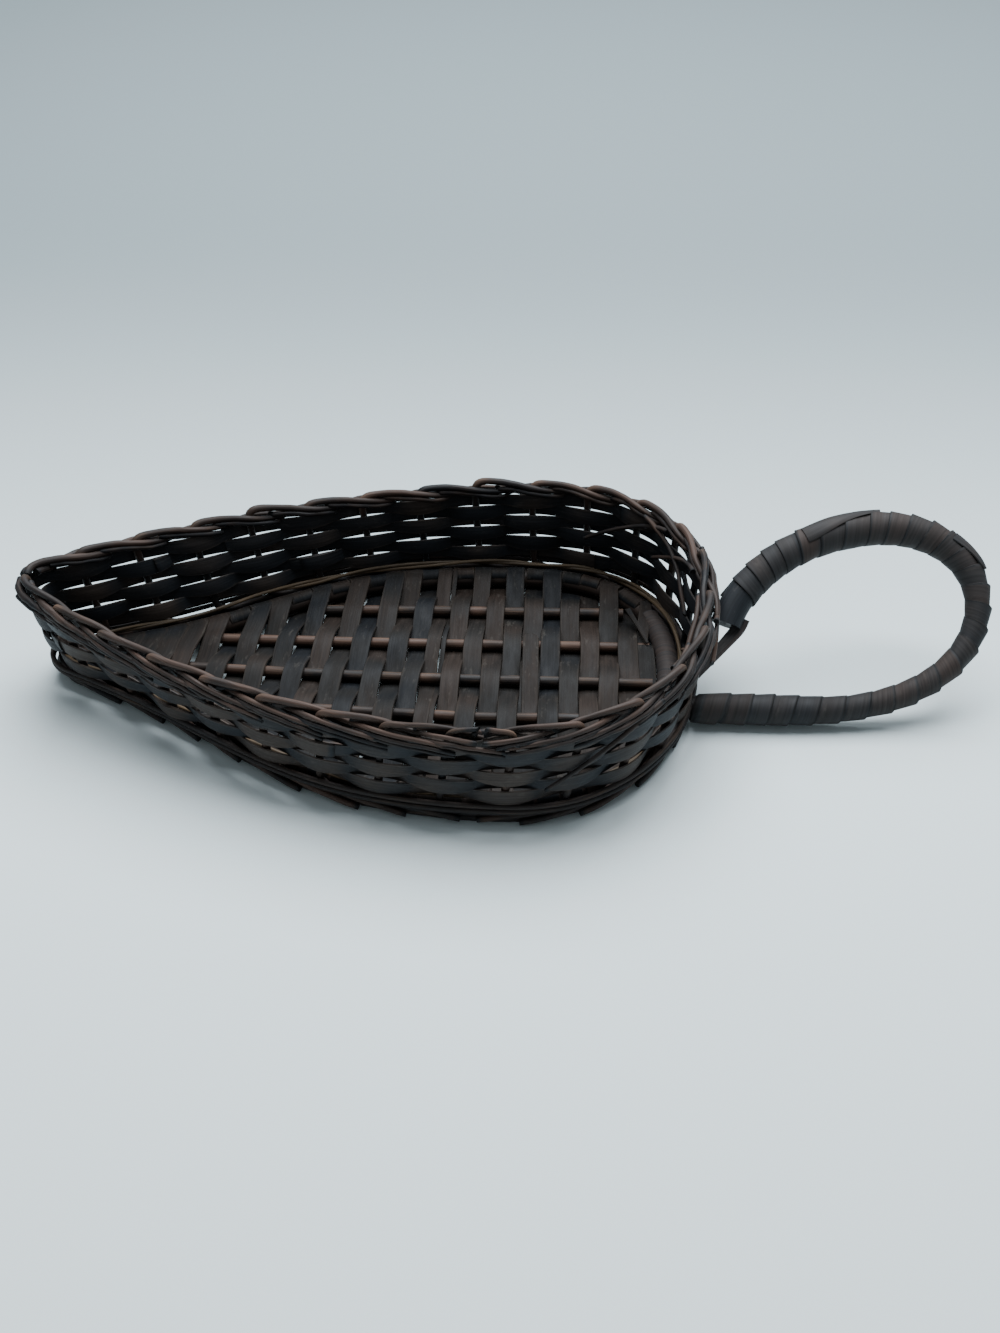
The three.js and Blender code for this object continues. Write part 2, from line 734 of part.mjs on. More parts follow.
function handleCurve() {
  const legStart = wallReach(HANDLE_SIDE, handleLegHeight, HANDLE_LEG_RADIUS) + GAP;
  const seatRise = (HANDLE_SEAT_HEIGHT - handleLegHeight) / Math.sin(HANDLE_TILT);
  const seatY = HANDLE_SIDE + seatRise * Math.cos(HANDLE_TILT);
  const seatX = wallReach(seatY, HANDLE_SEAT_HEIGHT, handleTopReach) + handleTopReach + GAP;
  const fullness = 0.58;
  const along = (x, rise) => onHandlePlane(x, rise);
  const bend = (start, first, second, end) => new THREE.CubicBezierCurve3(
    along(...start), along(...first), along(...second), along(...end));
  const leg = [HANDLE_LEG_END, 0];
  const far = [HANDLE_REACH, HANDLE_REACH_RISE];
  const top = [HANDLE_TOP_X, HANDLE_TOP_RISE];
  const path = new THREE.CurvePath();
  path.add(new THREE.LineCurve3(along(legStart, 0), along(...leg)));
  path.add(bend(
    leg,
    [THREE.MathUtils.lerp(leg[0], far[0], fullness), 0],
    [far[0], THREE.MathUtils.lerp(far[1], 0, fullness)],
    far,
  ));
  path.add(bend(
    far,
    [far[0], THREE.MathUtils.lerp(far[1], top[1], fullness)],
    [THREE.MathUtils.lerp(top[0], far[0], fullness), top[1]],
    top,
  ));
  path.add(bend(
    top,
    [THREE.MathUtils.lerp(top[0], seatX, fullness / 1.3), top[1]],
    [seatX + handleTopReach, THREE.MathUtils.lerp(seatRise, top[1], fullness)],
    [seatX, seatRise],
  ));
  return path;
}

const handlePath = handleCurve();
const handleLength = handlePath.getLength();
const handleLean = new THREE.Vector3(0, -Math.sin(HANDLE_TILT), Math.cos(HANDLE_TILT));

// Radius of the core, which is thinnest on its far bend.
function handleRadiusAt(distance) {
  const bend = THREE.MathUtils.smoothstep(distance, 0.12 * handleLength, 0.26 * handleLength);
  const top = THREE.MathUtils.smoothstep(distance, 0.48 * handleLength, 0.66 * handleLength);
  const leg = THREE.MathUtils.lerp(HANDLE_LEG_RADIUS, HANDLE_BEND_RADIUS, bend);
  return THREE.MathUtils.lerp(leg, HANDLE_TOP_RADIUS, top);
}

// Place beside the handle's centre line, at an angle round it.
function handleSurface(distance, angle, radius) {
  const u = THREE.MathUtils.clamp(distance / handleLength, 0, 1);
  const out = handlePath.getTangent(u).cross(handleLean).normalize();
  return handlePath.getPoint(u)
    .addScaledVector(out, radius * Math.cos(angle))
    .addScaledVector(handleLean, radius * Math.sin(angle));
}

function handleCore() {
  const rings = [];
  for (let i = 0; i <= HANDLE_CORE_STEPS; i += 1) {
    const distance = (handleLength * i) / HANDLE_CORE_STEPS;
    rings.push(Array.from({ length: HANDLE_CORE_SIDES }, (_, j) => (
      handleSurface(distance, (2 * Math.PI * j) / HANDLE_CORE_SIDES, handleRadiusAt(distance)))));
  }
  return loft(rings);
}

// One unbroken strip wound from the lower leg to the upper end, edge to edge.
const handlePitch = (handleLength + HANDLE_STRIP_SPACE) / (HANDLE_TURNS + 1);
const handleStripHalf = (handlePitch - HANDLE_STRIP_SPACE) / 2;

function handleBinding() {
  const rings = [];
  for (let i = 0; i <= HANDLE_TURNS * HANDLE_TURN_STEPS; i += 1) {
    const angle = i * handleStripAngle;
    const distance = handleStripHalf + (handlePitch * i) / HANDLE_TURN_STEPS;
    const corner = (edge, reach) => {
      const place = distance + edge * handleStripHalf;
      return handleSurface(place, angle, reach(handleRadiusAt(place)));
    };
    rings.push([
      corner(-1, handleStripInner),
      corner(-1, handleStripOuter),
      corner(1, handleStripOuter),
      corner(1, handleStripInner),
    ]);
  }
  console.log(`Least gap between turns of the handle binding: ${leastTurnGap(rings).toFixed(2)} mm`);
  return loft(rings);
}

// Least distance from the leading edge of a turn to the trailing edge of the next turn.
function leastTurnGap(rings) {
  let least = Infinity;
  for (let i = 0; i + HANDLE_TURN_STEPS < rings.length; i += 1) {
    const next = rings[i + HANDLE_TURN_STEPS];
    least = Math.min(least, rings[i][2].distanceTo(next[1]), rings[i][3].distanceTo(next[0]));
  }
  return least;
}

// Tail strip that holds the handle's upper end against the wall.
function handleStrap() {
  const ride = handleTopReach + GAP + SLACK + STRAP_THICKNESS / 2;
  const farSide = Math.PI;
  const points = [0.94, 0.97, 0.995].map((share) => (
    handleSurface(handleLength * share, farSide, ride)));
  const tuckY = HANDLE_SIDE + 3;
  const tuckZ = HANDLE_SEAT_HEIGHT - 11;
  const tuckX = wallReach(tuckY, tuckZ, STRAP_WIDTH / 2) + GAP + SLACK + STRAP_THICKNESS / 2;
  points.push(new THREE.Vector3(tuckX, tuckY, tuckZ));
  const facing = new THREE.Vector3(1, 0, 0);
  const halves = points.map((_, i) => {
    const [arriving, leaving] = edgesAt(points, i, false);
    return arriving.add(leaving).cross(facing).normalize().multiplyScalar(STRAP_WIDTH / 2);
  });
  return strip(points, halves, STRAP_THICKNESS);
}

const tray = new THREE.Group();

function addPiece(name, geometry, material) {
  const mesh = new THREE.Mesh(geometry, material);
  mesh.name = name;
  tray.add(mesh);
}

const twoDigits = (number) => String(number).padStart(2, '0');

addPiece('base_hoop', baseHoop(), finishes.splint());
addPiece('hoop_binding', hoopBinding(), finishes.wrap());
ribs.forEach((rib, i) => addPiece(`base_rib_${i + 1}`, ribRod(rib), finishes.rod()));
for (let i = 0; i < STAKE_COUNT; i += 1) {
  addPiece(`stake_${twoDigits(i + 1)}`, stake(i), finishes.stake());
}
tipRods.forEach((number, i) => addPiece(`tip_rod_${i + 1}`, tipRod(number), finishes.stake()));
addPiece('waling_rod', walingRod(), finishes.rod());
for (let i = 0; i < WEAVER_COUNT; i += 1) {
  addPiece(`wall_weaver_${i + 1}`, wallWeaver(i), finishes.weaver());
}
addPiece('handle_core', handleCore(), finishes.rod());
addPiece('handle_binding', handleBinding(), finishes.wrap());
addPiece('handle_strap', handleStrap(), finishes.wrap());

// The tray stands on the table, with its middle over the origin.
const bounds = new THREE.Box3().setFromObject(tray);
tray.position.set(
  -(bounds.min.x + bounds.max.x) / 2,
  -(bounds.min.y + bounds.max.y) / 2,
  -bounds.min.z,
);

export default tray;
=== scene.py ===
"""Leaf-shaped basket tray of dark stained willow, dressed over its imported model.

Sizes are millimetres in the tray's own frame: the origin is under the widest place of the
leaf, on the table, X runs to the round end with the handle and Z is up.
"""

import logging
import math
from dataclasses import dataclass, field
from enum import Enum

import bpy
import numpy as np
from mathutils import Matrix, Vector


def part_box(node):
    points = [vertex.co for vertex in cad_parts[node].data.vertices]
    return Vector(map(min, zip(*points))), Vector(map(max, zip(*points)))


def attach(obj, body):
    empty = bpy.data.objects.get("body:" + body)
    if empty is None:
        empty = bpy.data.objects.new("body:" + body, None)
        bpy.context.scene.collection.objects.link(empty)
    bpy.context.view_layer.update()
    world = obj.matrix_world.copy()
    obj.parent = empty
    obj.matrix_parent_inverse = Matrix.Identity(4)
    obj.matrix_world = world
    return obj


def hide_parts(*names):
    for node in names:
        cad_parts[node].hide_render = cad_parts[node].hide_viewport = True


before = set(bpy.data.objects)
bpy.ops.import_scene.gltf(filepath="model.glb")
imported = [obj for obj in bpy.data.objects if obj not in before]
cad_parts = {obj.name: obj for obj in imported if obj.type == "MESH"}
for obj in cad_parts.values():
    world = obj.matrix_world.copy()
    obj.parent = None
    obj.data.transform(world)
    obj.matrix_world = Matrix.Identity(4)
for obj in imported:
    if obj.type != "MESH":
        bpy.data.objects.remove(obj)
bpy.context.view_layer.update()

Array = np.ndarray
LOG = logging.getLogger("basket_tray")
MM = 0.001
# From the leaf's own frame, below its widest place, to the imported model's.
FROM_TRAY = np.array([4.00568, 0.00528, 0.0])
UP = np.array([0.0, 0.0, 1.0])
SEED = 41
# Nothing of a strand lies lower than this, so that it stays above the table.
LOWEST_Z = 0.02


def unit(vectors: Array) -> Array:
    """Gives rows of vectors the length one."""
    return vectors / np.linalg.norm(vectors, axis=-1, keepdims=True)


def ease(share: Array | float) -> Array | float:
    """Turns a share from 0 to 1 into one that starts and ends softly."""
    held = np.clip(share, 0.0, 1.0)
    return held * held * (3 - 2 * held)


def tangents(path: Array, closed: bool) -> Array:
    """Finds the direction of a path at each of its points."""
    if closed:
        return unit(np.roll(path, -1, 0) - np.roll(path, 1, 0))
    return unit(np.gradient(path, axis=0))


def reached(path: Array, closed: bool) -> Array:
    """Measures how far along its path each point lies, and the way back if it is closed."""
    rows = np.vstack([path, path[:1]]) if closed else path
    return np.concatenate([[0.0], np.cumsum(np.linalg.norm(np.diff(rows, axis=0), axis=1))])


def even(path: Array, count: int, closed: bool = False) -> Array:
    """Walks a path in equal steps.

    Args:
        path: Points of the path, one a row.
        count: How many points are wanted.
        closed: Whether the path leads back to its first point.

    Returns:
        The points of the walk.
    """
    length = reached(path, closed)
    rows = np.vstack([path, path[:1]]) if closed else path
    goals = np.linspace(0, length[-1], count, endpoint=not closed)
    return np.stack([np.interp(goals, length, rows[:, k]) for k in range(rows.shape[1])], 1)


def rounded(path: Array, step: float, reach: float) -> Array:
    """Bends a row of straight runs to one soft line, as springy willow lies.

    Args:
        path: Corners of the line, one a row.
        step: Distance between the points of the result.
        reach: How far a bend is spread along the line.

    Returns:
        The points of the softened line. Its two ends stay where they are.
    """
    fine = 0.5
    length = reached(path, False)[-1]
    dense = even(path, max(8, int(length / fine)))
    half = max(2, int(3 * reach / fine))
    weights = np.exp(-0.5 * (np.arange(-half, half + 1) * fine / reach) ** 2)
    weights /= weights.sum()
    before = 2 * dense[:1] - dense[1:half + 1][::-1]
    after = 2 * dense[-1:] - dense[-half - 1:-1][::-1]
    long = np.vstack([before, dense, after])
    soft = np.stack([np.convolve(long[:, k], weights, "valid") for k in range(3)], 1)
    return even(soft, max(4, int(length / step) + 1))


def sway(rng: np.random.Generator, count: int, waves: int = 4, closed: bool = False) -> Array:
    """Makes a soft random line between about -1 and 1, for how natural strands vary.

    Args:
        rng: Source of chance.
        count: How many values are wanted.
        waves: How many waves are added up.
        closed: Whether the last value leads back to the first.

    Returns:
        The values.
    """
    share = np.linspace(0, 1, count, endpoint=not closed)
    total = np.zeros(count)
    for wave in range(1, waves + 1):
        turns = wave if closed else wave * rng.uniform(0.6, 1.2)
        total += rng.normal() * np.sin(2 * math.pi * (turns * share + rng.random()))
    return total / math.sqrt(waves)


def rough(rng: np.random.Generator, length: float, count: int, wave: float) -> Array:
    """Makes a random line with a given wave length, between about -1 and 1.

    Args:
        rng: Source of chance.
        length: Length of the strand.
        count: How many values are wanted.
        wave: Distance between the random values.

    Returns:
        The values.
    """
    knots = max(4, int(length / wave) + 1)
    places = np.linspace(0, knots - 1, count)
    values = rng.uniform(-1, 1, knots + 1)
    low = places.astype(int)
    share = ease(places - low)
    return values[low] * (1 - share) + values[np.minimum(low + 1, knots)] * share


def stepped(at: Array, knots: Array, levels: Array) -> Array:
    """Rises and falls softly from level to level.

    Args:
        at: Places where the height is wanted.
        knots: Places of the levels, rising.
        levels: Height at each of them.

    Returns:
        The heights.
    """
    low = np.clip(np.searchsorted(knots, at, "right") - 1, 0, len(knots) - 2)
    share = ease((at - knots[low]) / (knots[low + 1] - knots[low]))
    return levels[low] * (1 - share) + levels[low + 1] * share


def between(values: Array, turn: Array) -> Array:
    """Reads a closed row of values at places between its steps."""
    turn = turn % len(values)
    low = turn.astype(int) % len(values)
    share = turn - np.floor(turn)
    if values.ndim == 2:
        share = share[..., None]
    return values[low] * (1 - share) + values[(low + 1) % len(values)] * share


def cubic(corners: tuple, steps: int) -> Array:
    """Walks a cubic curve from the first of its four corners to the last."""
    t = np.linspace(0, 1, steps)[:, None]
    a, b, c, d = (np.array(corner) for corner in corners)
    return (1 - t) ** 3 * a + 3 * (1 - t) ** 2 * t * b + 3 * (1 - t) * t * t * c + t ** 3 * d


def around(place: Array, out: Array, up: Array, radius: Array | float, angle: Array) -> Array:
    """Finds places round a line, at an angle from one direction square to it to the other."""
    return place + out * (radius * np.cos(angle))[:, None] + up * (radius * np.sin(angle))[:, None]


def strip_between(edges: list[Array]) -> tuple[Array, Array]:
    """Gives a strip's middle line and the vectors to its edge, from its two edges."""
    return (edges[0] + edges[1]) / 2, (edges[1] - edges[0]) / 2


def drawn(rng: np.random.Generator, middle: float, spread: float, low: float, high: float) -> float:
    """Draws a tone near a middle one, held between two bounds."""
    return float(np.clip(rng.normal(middle, spread), low, high))


class Section(Enum):
    """How a strand of willow was prepared."""

    ROUND = "a whole rod"
    FLAT = "a split and shaved strip"


def linear(hex_code: str) -> tuple[float, float, float, float]:
    """Turns an sRGB hex colour to the linear values that a shader takes, with an alpha of one."""
    values = [int(hex_code[i:i + 2], 16) / 255 for i in (0, 2, 4)]
    lin = [v / 12.92 if v <= 0.04045 else ((v + 0.055) / 1.055) ** 2.4 for v in values]
    return (lin[0], lin[1], lin[2], 1.0)


def add_node(tree: bpy.types.NodeTree, kind: str, settings: dict, inputs: dict) -> bpy.types.Node:
    """Adds a node with its settings and links.

    Args:
        tree: Node tree of the material.
        kind: Type name of the node.
        settings: Values of the node's own properties.
        inputs: Values or linked sockets, by the name or number of the input.

    Returns:
        The new node.
    """
    made = tree.nodes.new(kind)
    for name, value in settings.items():
        setattr(made, name, value)
    for socket, value in inputs.items():
        if isinstance(value, bpy.types.NodeSocket):
            tree.links.new(value, made.inputs[socket])
        else:
            made.inputs[socket].default_value = value
    return made


def add_noise(tree: bpy.types.NodeTree, uv: bpy.types.NodeSocket, scale: tuple, detail: float,
              roughness: float) -> bpy.types.NodeSocket:
    """Adds a noise on a strand's map, with its scale along and across, and gives its value."""
    place = add_node(tree, "ShaderNodeMapping", {}, {"Vector": uv, "Scale": (*scale, 1.0)})
    return add_node(tree, "ShaderNodeTexNoise", {}, {
        "Vector": place.outputs[0], "Scale": 1.0, "Detail": detail,
        "Roughness": roughness}).outputs["Fac"]


def add_math(tree: bpy.types.NodeTree, kind: str, *values: float) -> bpy.types.NodeSocket:
    """Adds one step of arithmetic on values or sockets and gives its result."""
    return add_node(tree, "ShaderNodeMath", {"operation": kind}, dict(enumerate(values))).outputs[0]


def add_range(tree: bpy.types.NodeTree, value: bpy.types.NodeSocket, start: float, end: float,
              least: float, most: float) -> bpy.types.NodeSocket:
    """Adds a node that takes a value from one range to another, held at both ends."""
    return add_node(tree, "ShaderNodeMapRange", {}, {
        "Value": value, "From Min": start, "From Max": end, "To Min": least,
        "To Max": most}).outputs[0]


def add_mix(tree: bpy.types.NodeTree, share: bpy.types.NodeSocket, first: object,
            second: object) -> bpy.types.NodeSocket:
    """Adds a mix of two colours and gives the mixed one."""
    return add_node(tree, "ShaderNodeMix", {"data_type": "RGBA"}, {
        0: share, 6: first, 7: second}).outputs[2]


# Smears of dust along and across a strand, to the metre.
SMEARS = (110.0, 330.0)


@dataclass(frozen=True)
class WillowFinish:
    """Willow under a dark spirit stain that was brushed on after weaving.

    Hollows, laps and the far side are darkened by painted shade carried in each strand's tone, and on
    edges and bends the stain is rubbed through to the tan of the wood. Fibres run along each strand,
    and dust has dried to chalky marks on flat faces.
    """

    name: str
    slot: str
    cool: str
    plain: str
    warm: str
    worn: str
    wear: float
    roughness: float
    fibre_mm: float = 0.9
    fibre_length_mm: float = 34.0
    blotch_mm: float = 9.0
    bump_mm: float = 0.14
    gloss: float = 0.22
    chalk: float = 0.0
    dust: str = "7d7972"

    def material(self) -> bpy.types.Material:
        """Builds the material, or gives the one that is there already."""
        found = bpy.data.materials.get(self.name)
        if found:
            return found
        made = bpy.data.materials.new(self.name)
        made.use_nodes = True
        tree = made.node_tree
        tree.nodes.clear()
        self.dress(tree)
        return made

    def dress(self, tree: bpy.types.NodeTree) -> None:
        """Lays out the nodes of the finish.

        Args:
            tree: Empty node tree of the material.
        """
        uv = add_node(tree, "ShaderNodeUVMap", {"uv_map": "UVMap"}, {}).outputs["UV"]
        tone, edge = (add_node(tree, "ShaderNodeAttribute", {"attribute_name": name}, {}).outputs["Fac"]
                      for name in ("tone", "edge"))
        # Fibres: long thin streaks, as split or peeled willow shows under stain.
        fibre = add_noise(tree, uv, (1000 / self.fibre_length_mm, 1000 / self.fibre_mm), 4.0, 0.62)
        # Blotches: where the wood drank more or less of the stain.
        blotch = add_noise(tree, uv, (1000 / (3 * self.blotch_mm), 1000 / self.blotch_mm), 4.0, 0.65)
        spread = add_math(tree, "MULTIPLY_ADD", blotch, 0.8, -0.4)
        stain = add_node(tree, "ShaderNodeValToRGB", {}, {"Fac": add_math(tree, "ADD", tone, spread)})
        ramp = stain.color_ramp
        for element, place, colour in zip(ramp.elements, (0.05, 0.95), (self.cool, self.warm)):
            element.position = place
            element.color = linear(colour)
        ramp.elements.new(0.5).color = linear(self.plain)
        # Cut ends carry a tone below nought and drink the stain nearly black; painted shade at laps and
        # tucked places is carried the same way, by a tone below nought.
        depth = add_range(tree, fibre, 0.3, 0.7, 0.62, 1.32)
        soaked = add_range(tree, tone, -0.7, 0.0, 0.2, 1.0)
        grained = add_node(tree, "ShaderNodeVectorMath", {"operation": "SCALE"}, {
            0: stain.outputs["Color"], "Scale": add_math(tree, "MULTIPLY", depth, soaked)}).outputs[0]
        # Rubbed places: the tan of the wood, on edges and where fibres stand up.
        rubbed = add_math(tree, "MULTIPLY_ADD", fibre, 0.9, blotch)
        edged = add_math(tree, "MULTIPLY_ADD", edge, 0.55, rubbed)
        mask = add_range(tree, edged, 1.2, 1.62, 0.0, self.wear)
        coloured = add_mix(tree, mask, grained, linear(self.worn))
        # Chalky marks: small pale smears of dried dust, a few to a strand.
        smear = add_noise(tree, uv, SMEARS, 6.0, 0.72)
        powder = add_math(tree, "MULTIPLY_ADD", blotch, 0.5, smear)
        chalked = add_range(tree, powder, 0.84, 1.04, 0.0, self.chalk)
        dusted = add_mix(tree, chalked, coloured, linear(self.dust))
        sheen = add_range(tree, blotch, 0.3, 0.7, self.roughness - 0.1, self.roughness + 0.14)
        height = add_math(tree, "MULTIPLY_ADD", blotch, 0.7, fibre)
        bump = add_node(tree, "ShaderNodeBump", {}, {
            "Height": height, "Strength": 0.9, "Distance": self.bump_mm * MM})
        shader = add_node(tree, "ShaderNodeBsdfPrincipled", {}, {
            "Base Color": dusted, "Roughness": sheen, "Specular IOR Level": self.gloss, "IOR": 1.5,
            "Normal": bump.outputs[0]})
        add_node(tree, "ShaderNodeOutputMaterial", {}, {"Surface": shader.outputs[0]})


# Peeled whole rods, brown where the stain is thin over the round.
RODS = WillowFinish(
    "stained_whole_willow_rod", "rod", "1c1a1a", "30251f", "4c3a31", "64503f", 0.6, 0.55, 0.8, 26.0)
# Thin peeled rods that took little stain and stayed olive tan.
TWINE = WillowFinish(
    "thin_peeled_willow_rod", "rod", "2c261e", "43382a", "574733", "6d5c45", 0.5, 0.55, 0.7, 22.0)
# Stakes are whole rods as well, greyed where they stand and rubbed tan where they bend.
STAKES = WillowFinish(
    "stained_willow_stake", "stake", "17181b", "2d2623", "463730", "64503f", 0.55, 0.58, 0.8, 26.0,
    bump_mm=0.2)
# Split and shaved strips of the base: flat fibres, grey brown with cool patches and chalky marks.
SPLINTS = WillowFinish(
    "stained_split_willow", "splint", "0f1216", "161514", "241d19", "332c26", 0.4, 0.62,
    1.1, 40.0, 8.0, 0.2, gloss=0.14, chalk=0.45, dust="55524d")
# Flat weavers of the wall, stained darkest of all and slightly bluish.
WEAVERS = WillowFinish(
    "stained_willow_weaver", "weaver", "1f2328", "28282a", "3b3430", "4a413a", 0.45, 0.6, bump_mm=0.2,
    chalk=0.2)
# Thin wide strips of the bindings: matt, grey brown, with a faint lengthwise grain.
WRAPS = WillowFinish(
    "stained_willow_binding", "wrap", "202225", "2a2828", "352d2a", "3d3631", 0.15, 0.68,
    1.3, 60.0, 12.0, 0.08, chalk=0.1)


def deselect() -> None:
    """Clears the selection, which the loaded frame leaves full."""
    bpy.ops.object.select_all(action="DESELECT")


@dataclass
class Strand:
    """One strand of willow, round or flat, laid along its middle line.

    name: piece name; path: middle line; side: for a rod any direction square to it, for a
    strip the vector from the middle line to its edge; size: radius of a rod or thickness of
    a strip, along the path; stands_for: CAD nodes that it replaces; crown and fold: how far a
    strip is arched or creased along its middle; wear: how far its stain is rubbed off; slant:
    how far a rod's end is cut askew; soaked: length of dark stain at each end; shade: change
    of tone along it, random stain and, on the wall's strands, also painted light and shade;
    seam: painted shadow along both edges of a wound strip.
    """

    name: str
    section: Section
    path: Array
    side: Array
    size: Array | float
    finish: WillowFinish
    stands_for: tuple[str, ...] = ()
    closed: bool = False
    crown: Array | float = 0.18
    fold: Array | float = 0.0
    sides: int = 12
    tone: float = 0.5
    wear: Array | float = 0.0
    slant: float = 0.0
    soaked: float = 0.0
    shade: Array | float = 0.0
    seam_shadow: float = 0.0

    def rings(self) -> tuple[Array, Array, Array]:
        """Works out the corners round the strand.

        Returns:
            Corners (points, sides, 3), the way round (points, sides + 1) and the wear
            (points, sides), which is one on an edge.
        """
        along = tangents(self.path, self.closed)
        size, rubbed, crown, fold = (
            np.broadcast_to(np.asarray(part, float), len(self.path))[:, None]
            for part in (self.size, self.wear, self.crown, self.fold))
        if self.section is Section.ROUND:
            out = unit(self.side - along * np.sum(self.side * along, 1, keepdims=True))
            across = np.cross(along, out)
            angle = 2 * math.pi * np.arange(self.sides) / self.sides
            ring = out[:, None] * np.cos(angle)[:, None] + across[:, None] * np.sin(angle)[:, None]
            corners = self.path[:, None] + ring * size[:, None]
            if self.slant:
                askew = self.slant * size[-1] * np.cos(angle)[:, None]
                corners[-1] = corners[-1] + along[-1] * askew
            way = size * 2 * math.pi * np.arange(self.sides + 1) / self.sides
            return corners, way, np.broadcast_to(rubbed, corners.shape[:2])
        face = unit(np.cross(self.side, along))
        half_face = [-0.96, -0.82, -0.3] if self.seam_shadow else [-0.94, -0.6, -0.2]
        face_places = half_face + [-place for place in half_face[::-1]]
        places = np.array(face_places + [1.0] + face_places[::-1] + [-1.0])
        faces = np.array([1.0] * 6 + [0.0] + [-1.0] * 6 + [0.0])
        rise = faces * size / 2 + crown * (1 - places ** 2) + fold * (1 - np.abs(places))
        corners = (self.path[:, None] + self.side[:, None] * places[:, None]
                   + face[:, None] * rise[:, :, None])
        half = np.linalg.norm(self.side, axis=1)[:, None]
        run = np.where(faces < 0, 2 * 1.05 - places, places)
        run = np.concatenate([run, [3.2]])
        wear = np.broadcast_to(np.clip((np.abs(places) - 0.55) / 0.45, 0, 1), corners.shape[:2])
        return corners, half * run, np.maximum(wear, rubbed)

    def build(self, rng: np.random.Generator) -> bpy.types.Object:
        """Rolls a grid round the middle line and closes it to one solid strand.

        Args:
            rng: Source of chance, for where in the wood the strand was cut.

        Returns:
            The piece, riding on the tray.
        """
        corners, way, wear = self.rings()
        corners[..., 2] = np.maximum(corners[..., 2], LOWEST_Z)
        length = reached(self.path, self.closed)
        if self.closed:
            corners, way, wear = (np.concatenate([part, part[:1]]) for part in (corners, way, wear))
        rows, sides = corners.shape[:2]
        deselect()
        bpy.ops.mesh.primitive_grid_add(x_subdivisions=rows - 1, y_subdivisions=sides, size=2.0)
        piece = bpy.context.object
        piece.name = self.name
        mesh = piece.data
        mesh.name = self.name
        rolled = np.concatenate([corners, corners[:, :1]], 1).transpose(1, 0, 2)
        place = (rolled.reshape(-1, 3) + FROM_TRAY) * MM
        mesh.vertices.foreach_set("co", place.astype(np.float32).ravel())
        worn = np.concatenate([wear, wear[:, :1]], 1).T
        self.write(mesh, "edge", worn.ravel())
        tones = np.tile(self.grade(length, rows, rng), (sides + 1, 1))
        # Painted shadow along both edges of a wound strip: its last column and its seventh, with the
        # ones beside them.
        tones[[0, 1, sides - 1, sides]] += self.seam_shadow
        tones[[5, 6, 7]] += 0.7 * self.seam_shadow
        self.write(mesh, "tone", tones.ravel())
        self.unwrap(mesh, length, way, rng)
        bpy.ops.object.mode_set(mode="EDIT")
        bpy.ops.mesh.select_all(action="SELECT")
        bpy.ops.mesh.remove_doubles(threshold=2e-6)
        if not self.closed:
            bpy.ops.mesh.select_all(action="SELECT")
            bpy.ops.mesh.fill_holes(sides=0)
        bpy.ops.mesh.select_all(action="SELECT")
        bpy.ops.mesh.normals_make_consistent(inside=False)
        bpy.ops.object.mode_set(mode="OBJECT")
        bpy.ops.object.shade_smooth_by_angle(angle=math.radians(50))
        mesh.materials.clear()
        mesh.materials.append(self.finish.material())
        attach(piece, "root")
        if self.stands_for:
            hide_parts(*self.stands_for)
        LOG.info("%s: %s, %d faces", self.name, self.section.value, len(mesh.polygons))
        return piece

    def grade(self, length: Array, rows: int, rng: np.random.Generator) -> Array:
        """Grades the tone ring by ring along the strand, random stain with painted light and shade
        where given, nearly black where its ends are cut.
        """
        shade = np.broadcast_to(np.asarray(self.shade, float), len(self.path))
        shade = np.concatenate([shade, shade[:1]]) if self.closed else shade
        tone = self.tone + shade + 0.14 * rough(rng, length[-1], rows, 45.0)
        if self.soaked:
            beside = np.minimum(length, length[-1] - length)
            tone = tone - (tone + 0.7) * np.clip(1 - beside / self.soaked, 0, 1)
        return tone

    def write(self, mesh: bpy.types.Mesh, name: str, values: Array) -> None:
        """Writes one value for each corner of the strand, under a name that materials read."""
        layer = mesh.attributes.new(name, "FLOAT", "POINT")
        layer.data.foreach_set("value", values.astype(np.float32))

    def unwrap(self, mesh: bpy.types.Mesh, length: Array, way: Array, rng: np.random.Generator) -> None:
        """Gives the strand a map in metres, along it and round it.

        Args:
            mesh: Mesh of the strand, still a grid.
            length: Way along the strand.
            way: Way round the strand.
            rng: Source of chance, for where the map starts.
        """
        rows, turn = way.shape
        layer = mesh.uv_layers.active
        layer.name = "UVMap"
        found = np.zeros(len(mesh.loops) * 2, np.float32)
        layer.data.foreach_get("uv", found)
        found = found.reshape(-1, 2)
        i = np.rint(found[:, 0] * (rows - 1)).astype(int)
        j = np.rint(found[:, 1] * (turn - 1)).astype(int)
        start = rng.uniform(0, 5, 2)
        spot = np.stack([length[i] * MM + start[0], way[i, j] * MM + start[1]], 1)
        layer.data.foreach_set("uv", spot.astype(np.float32).ravel())


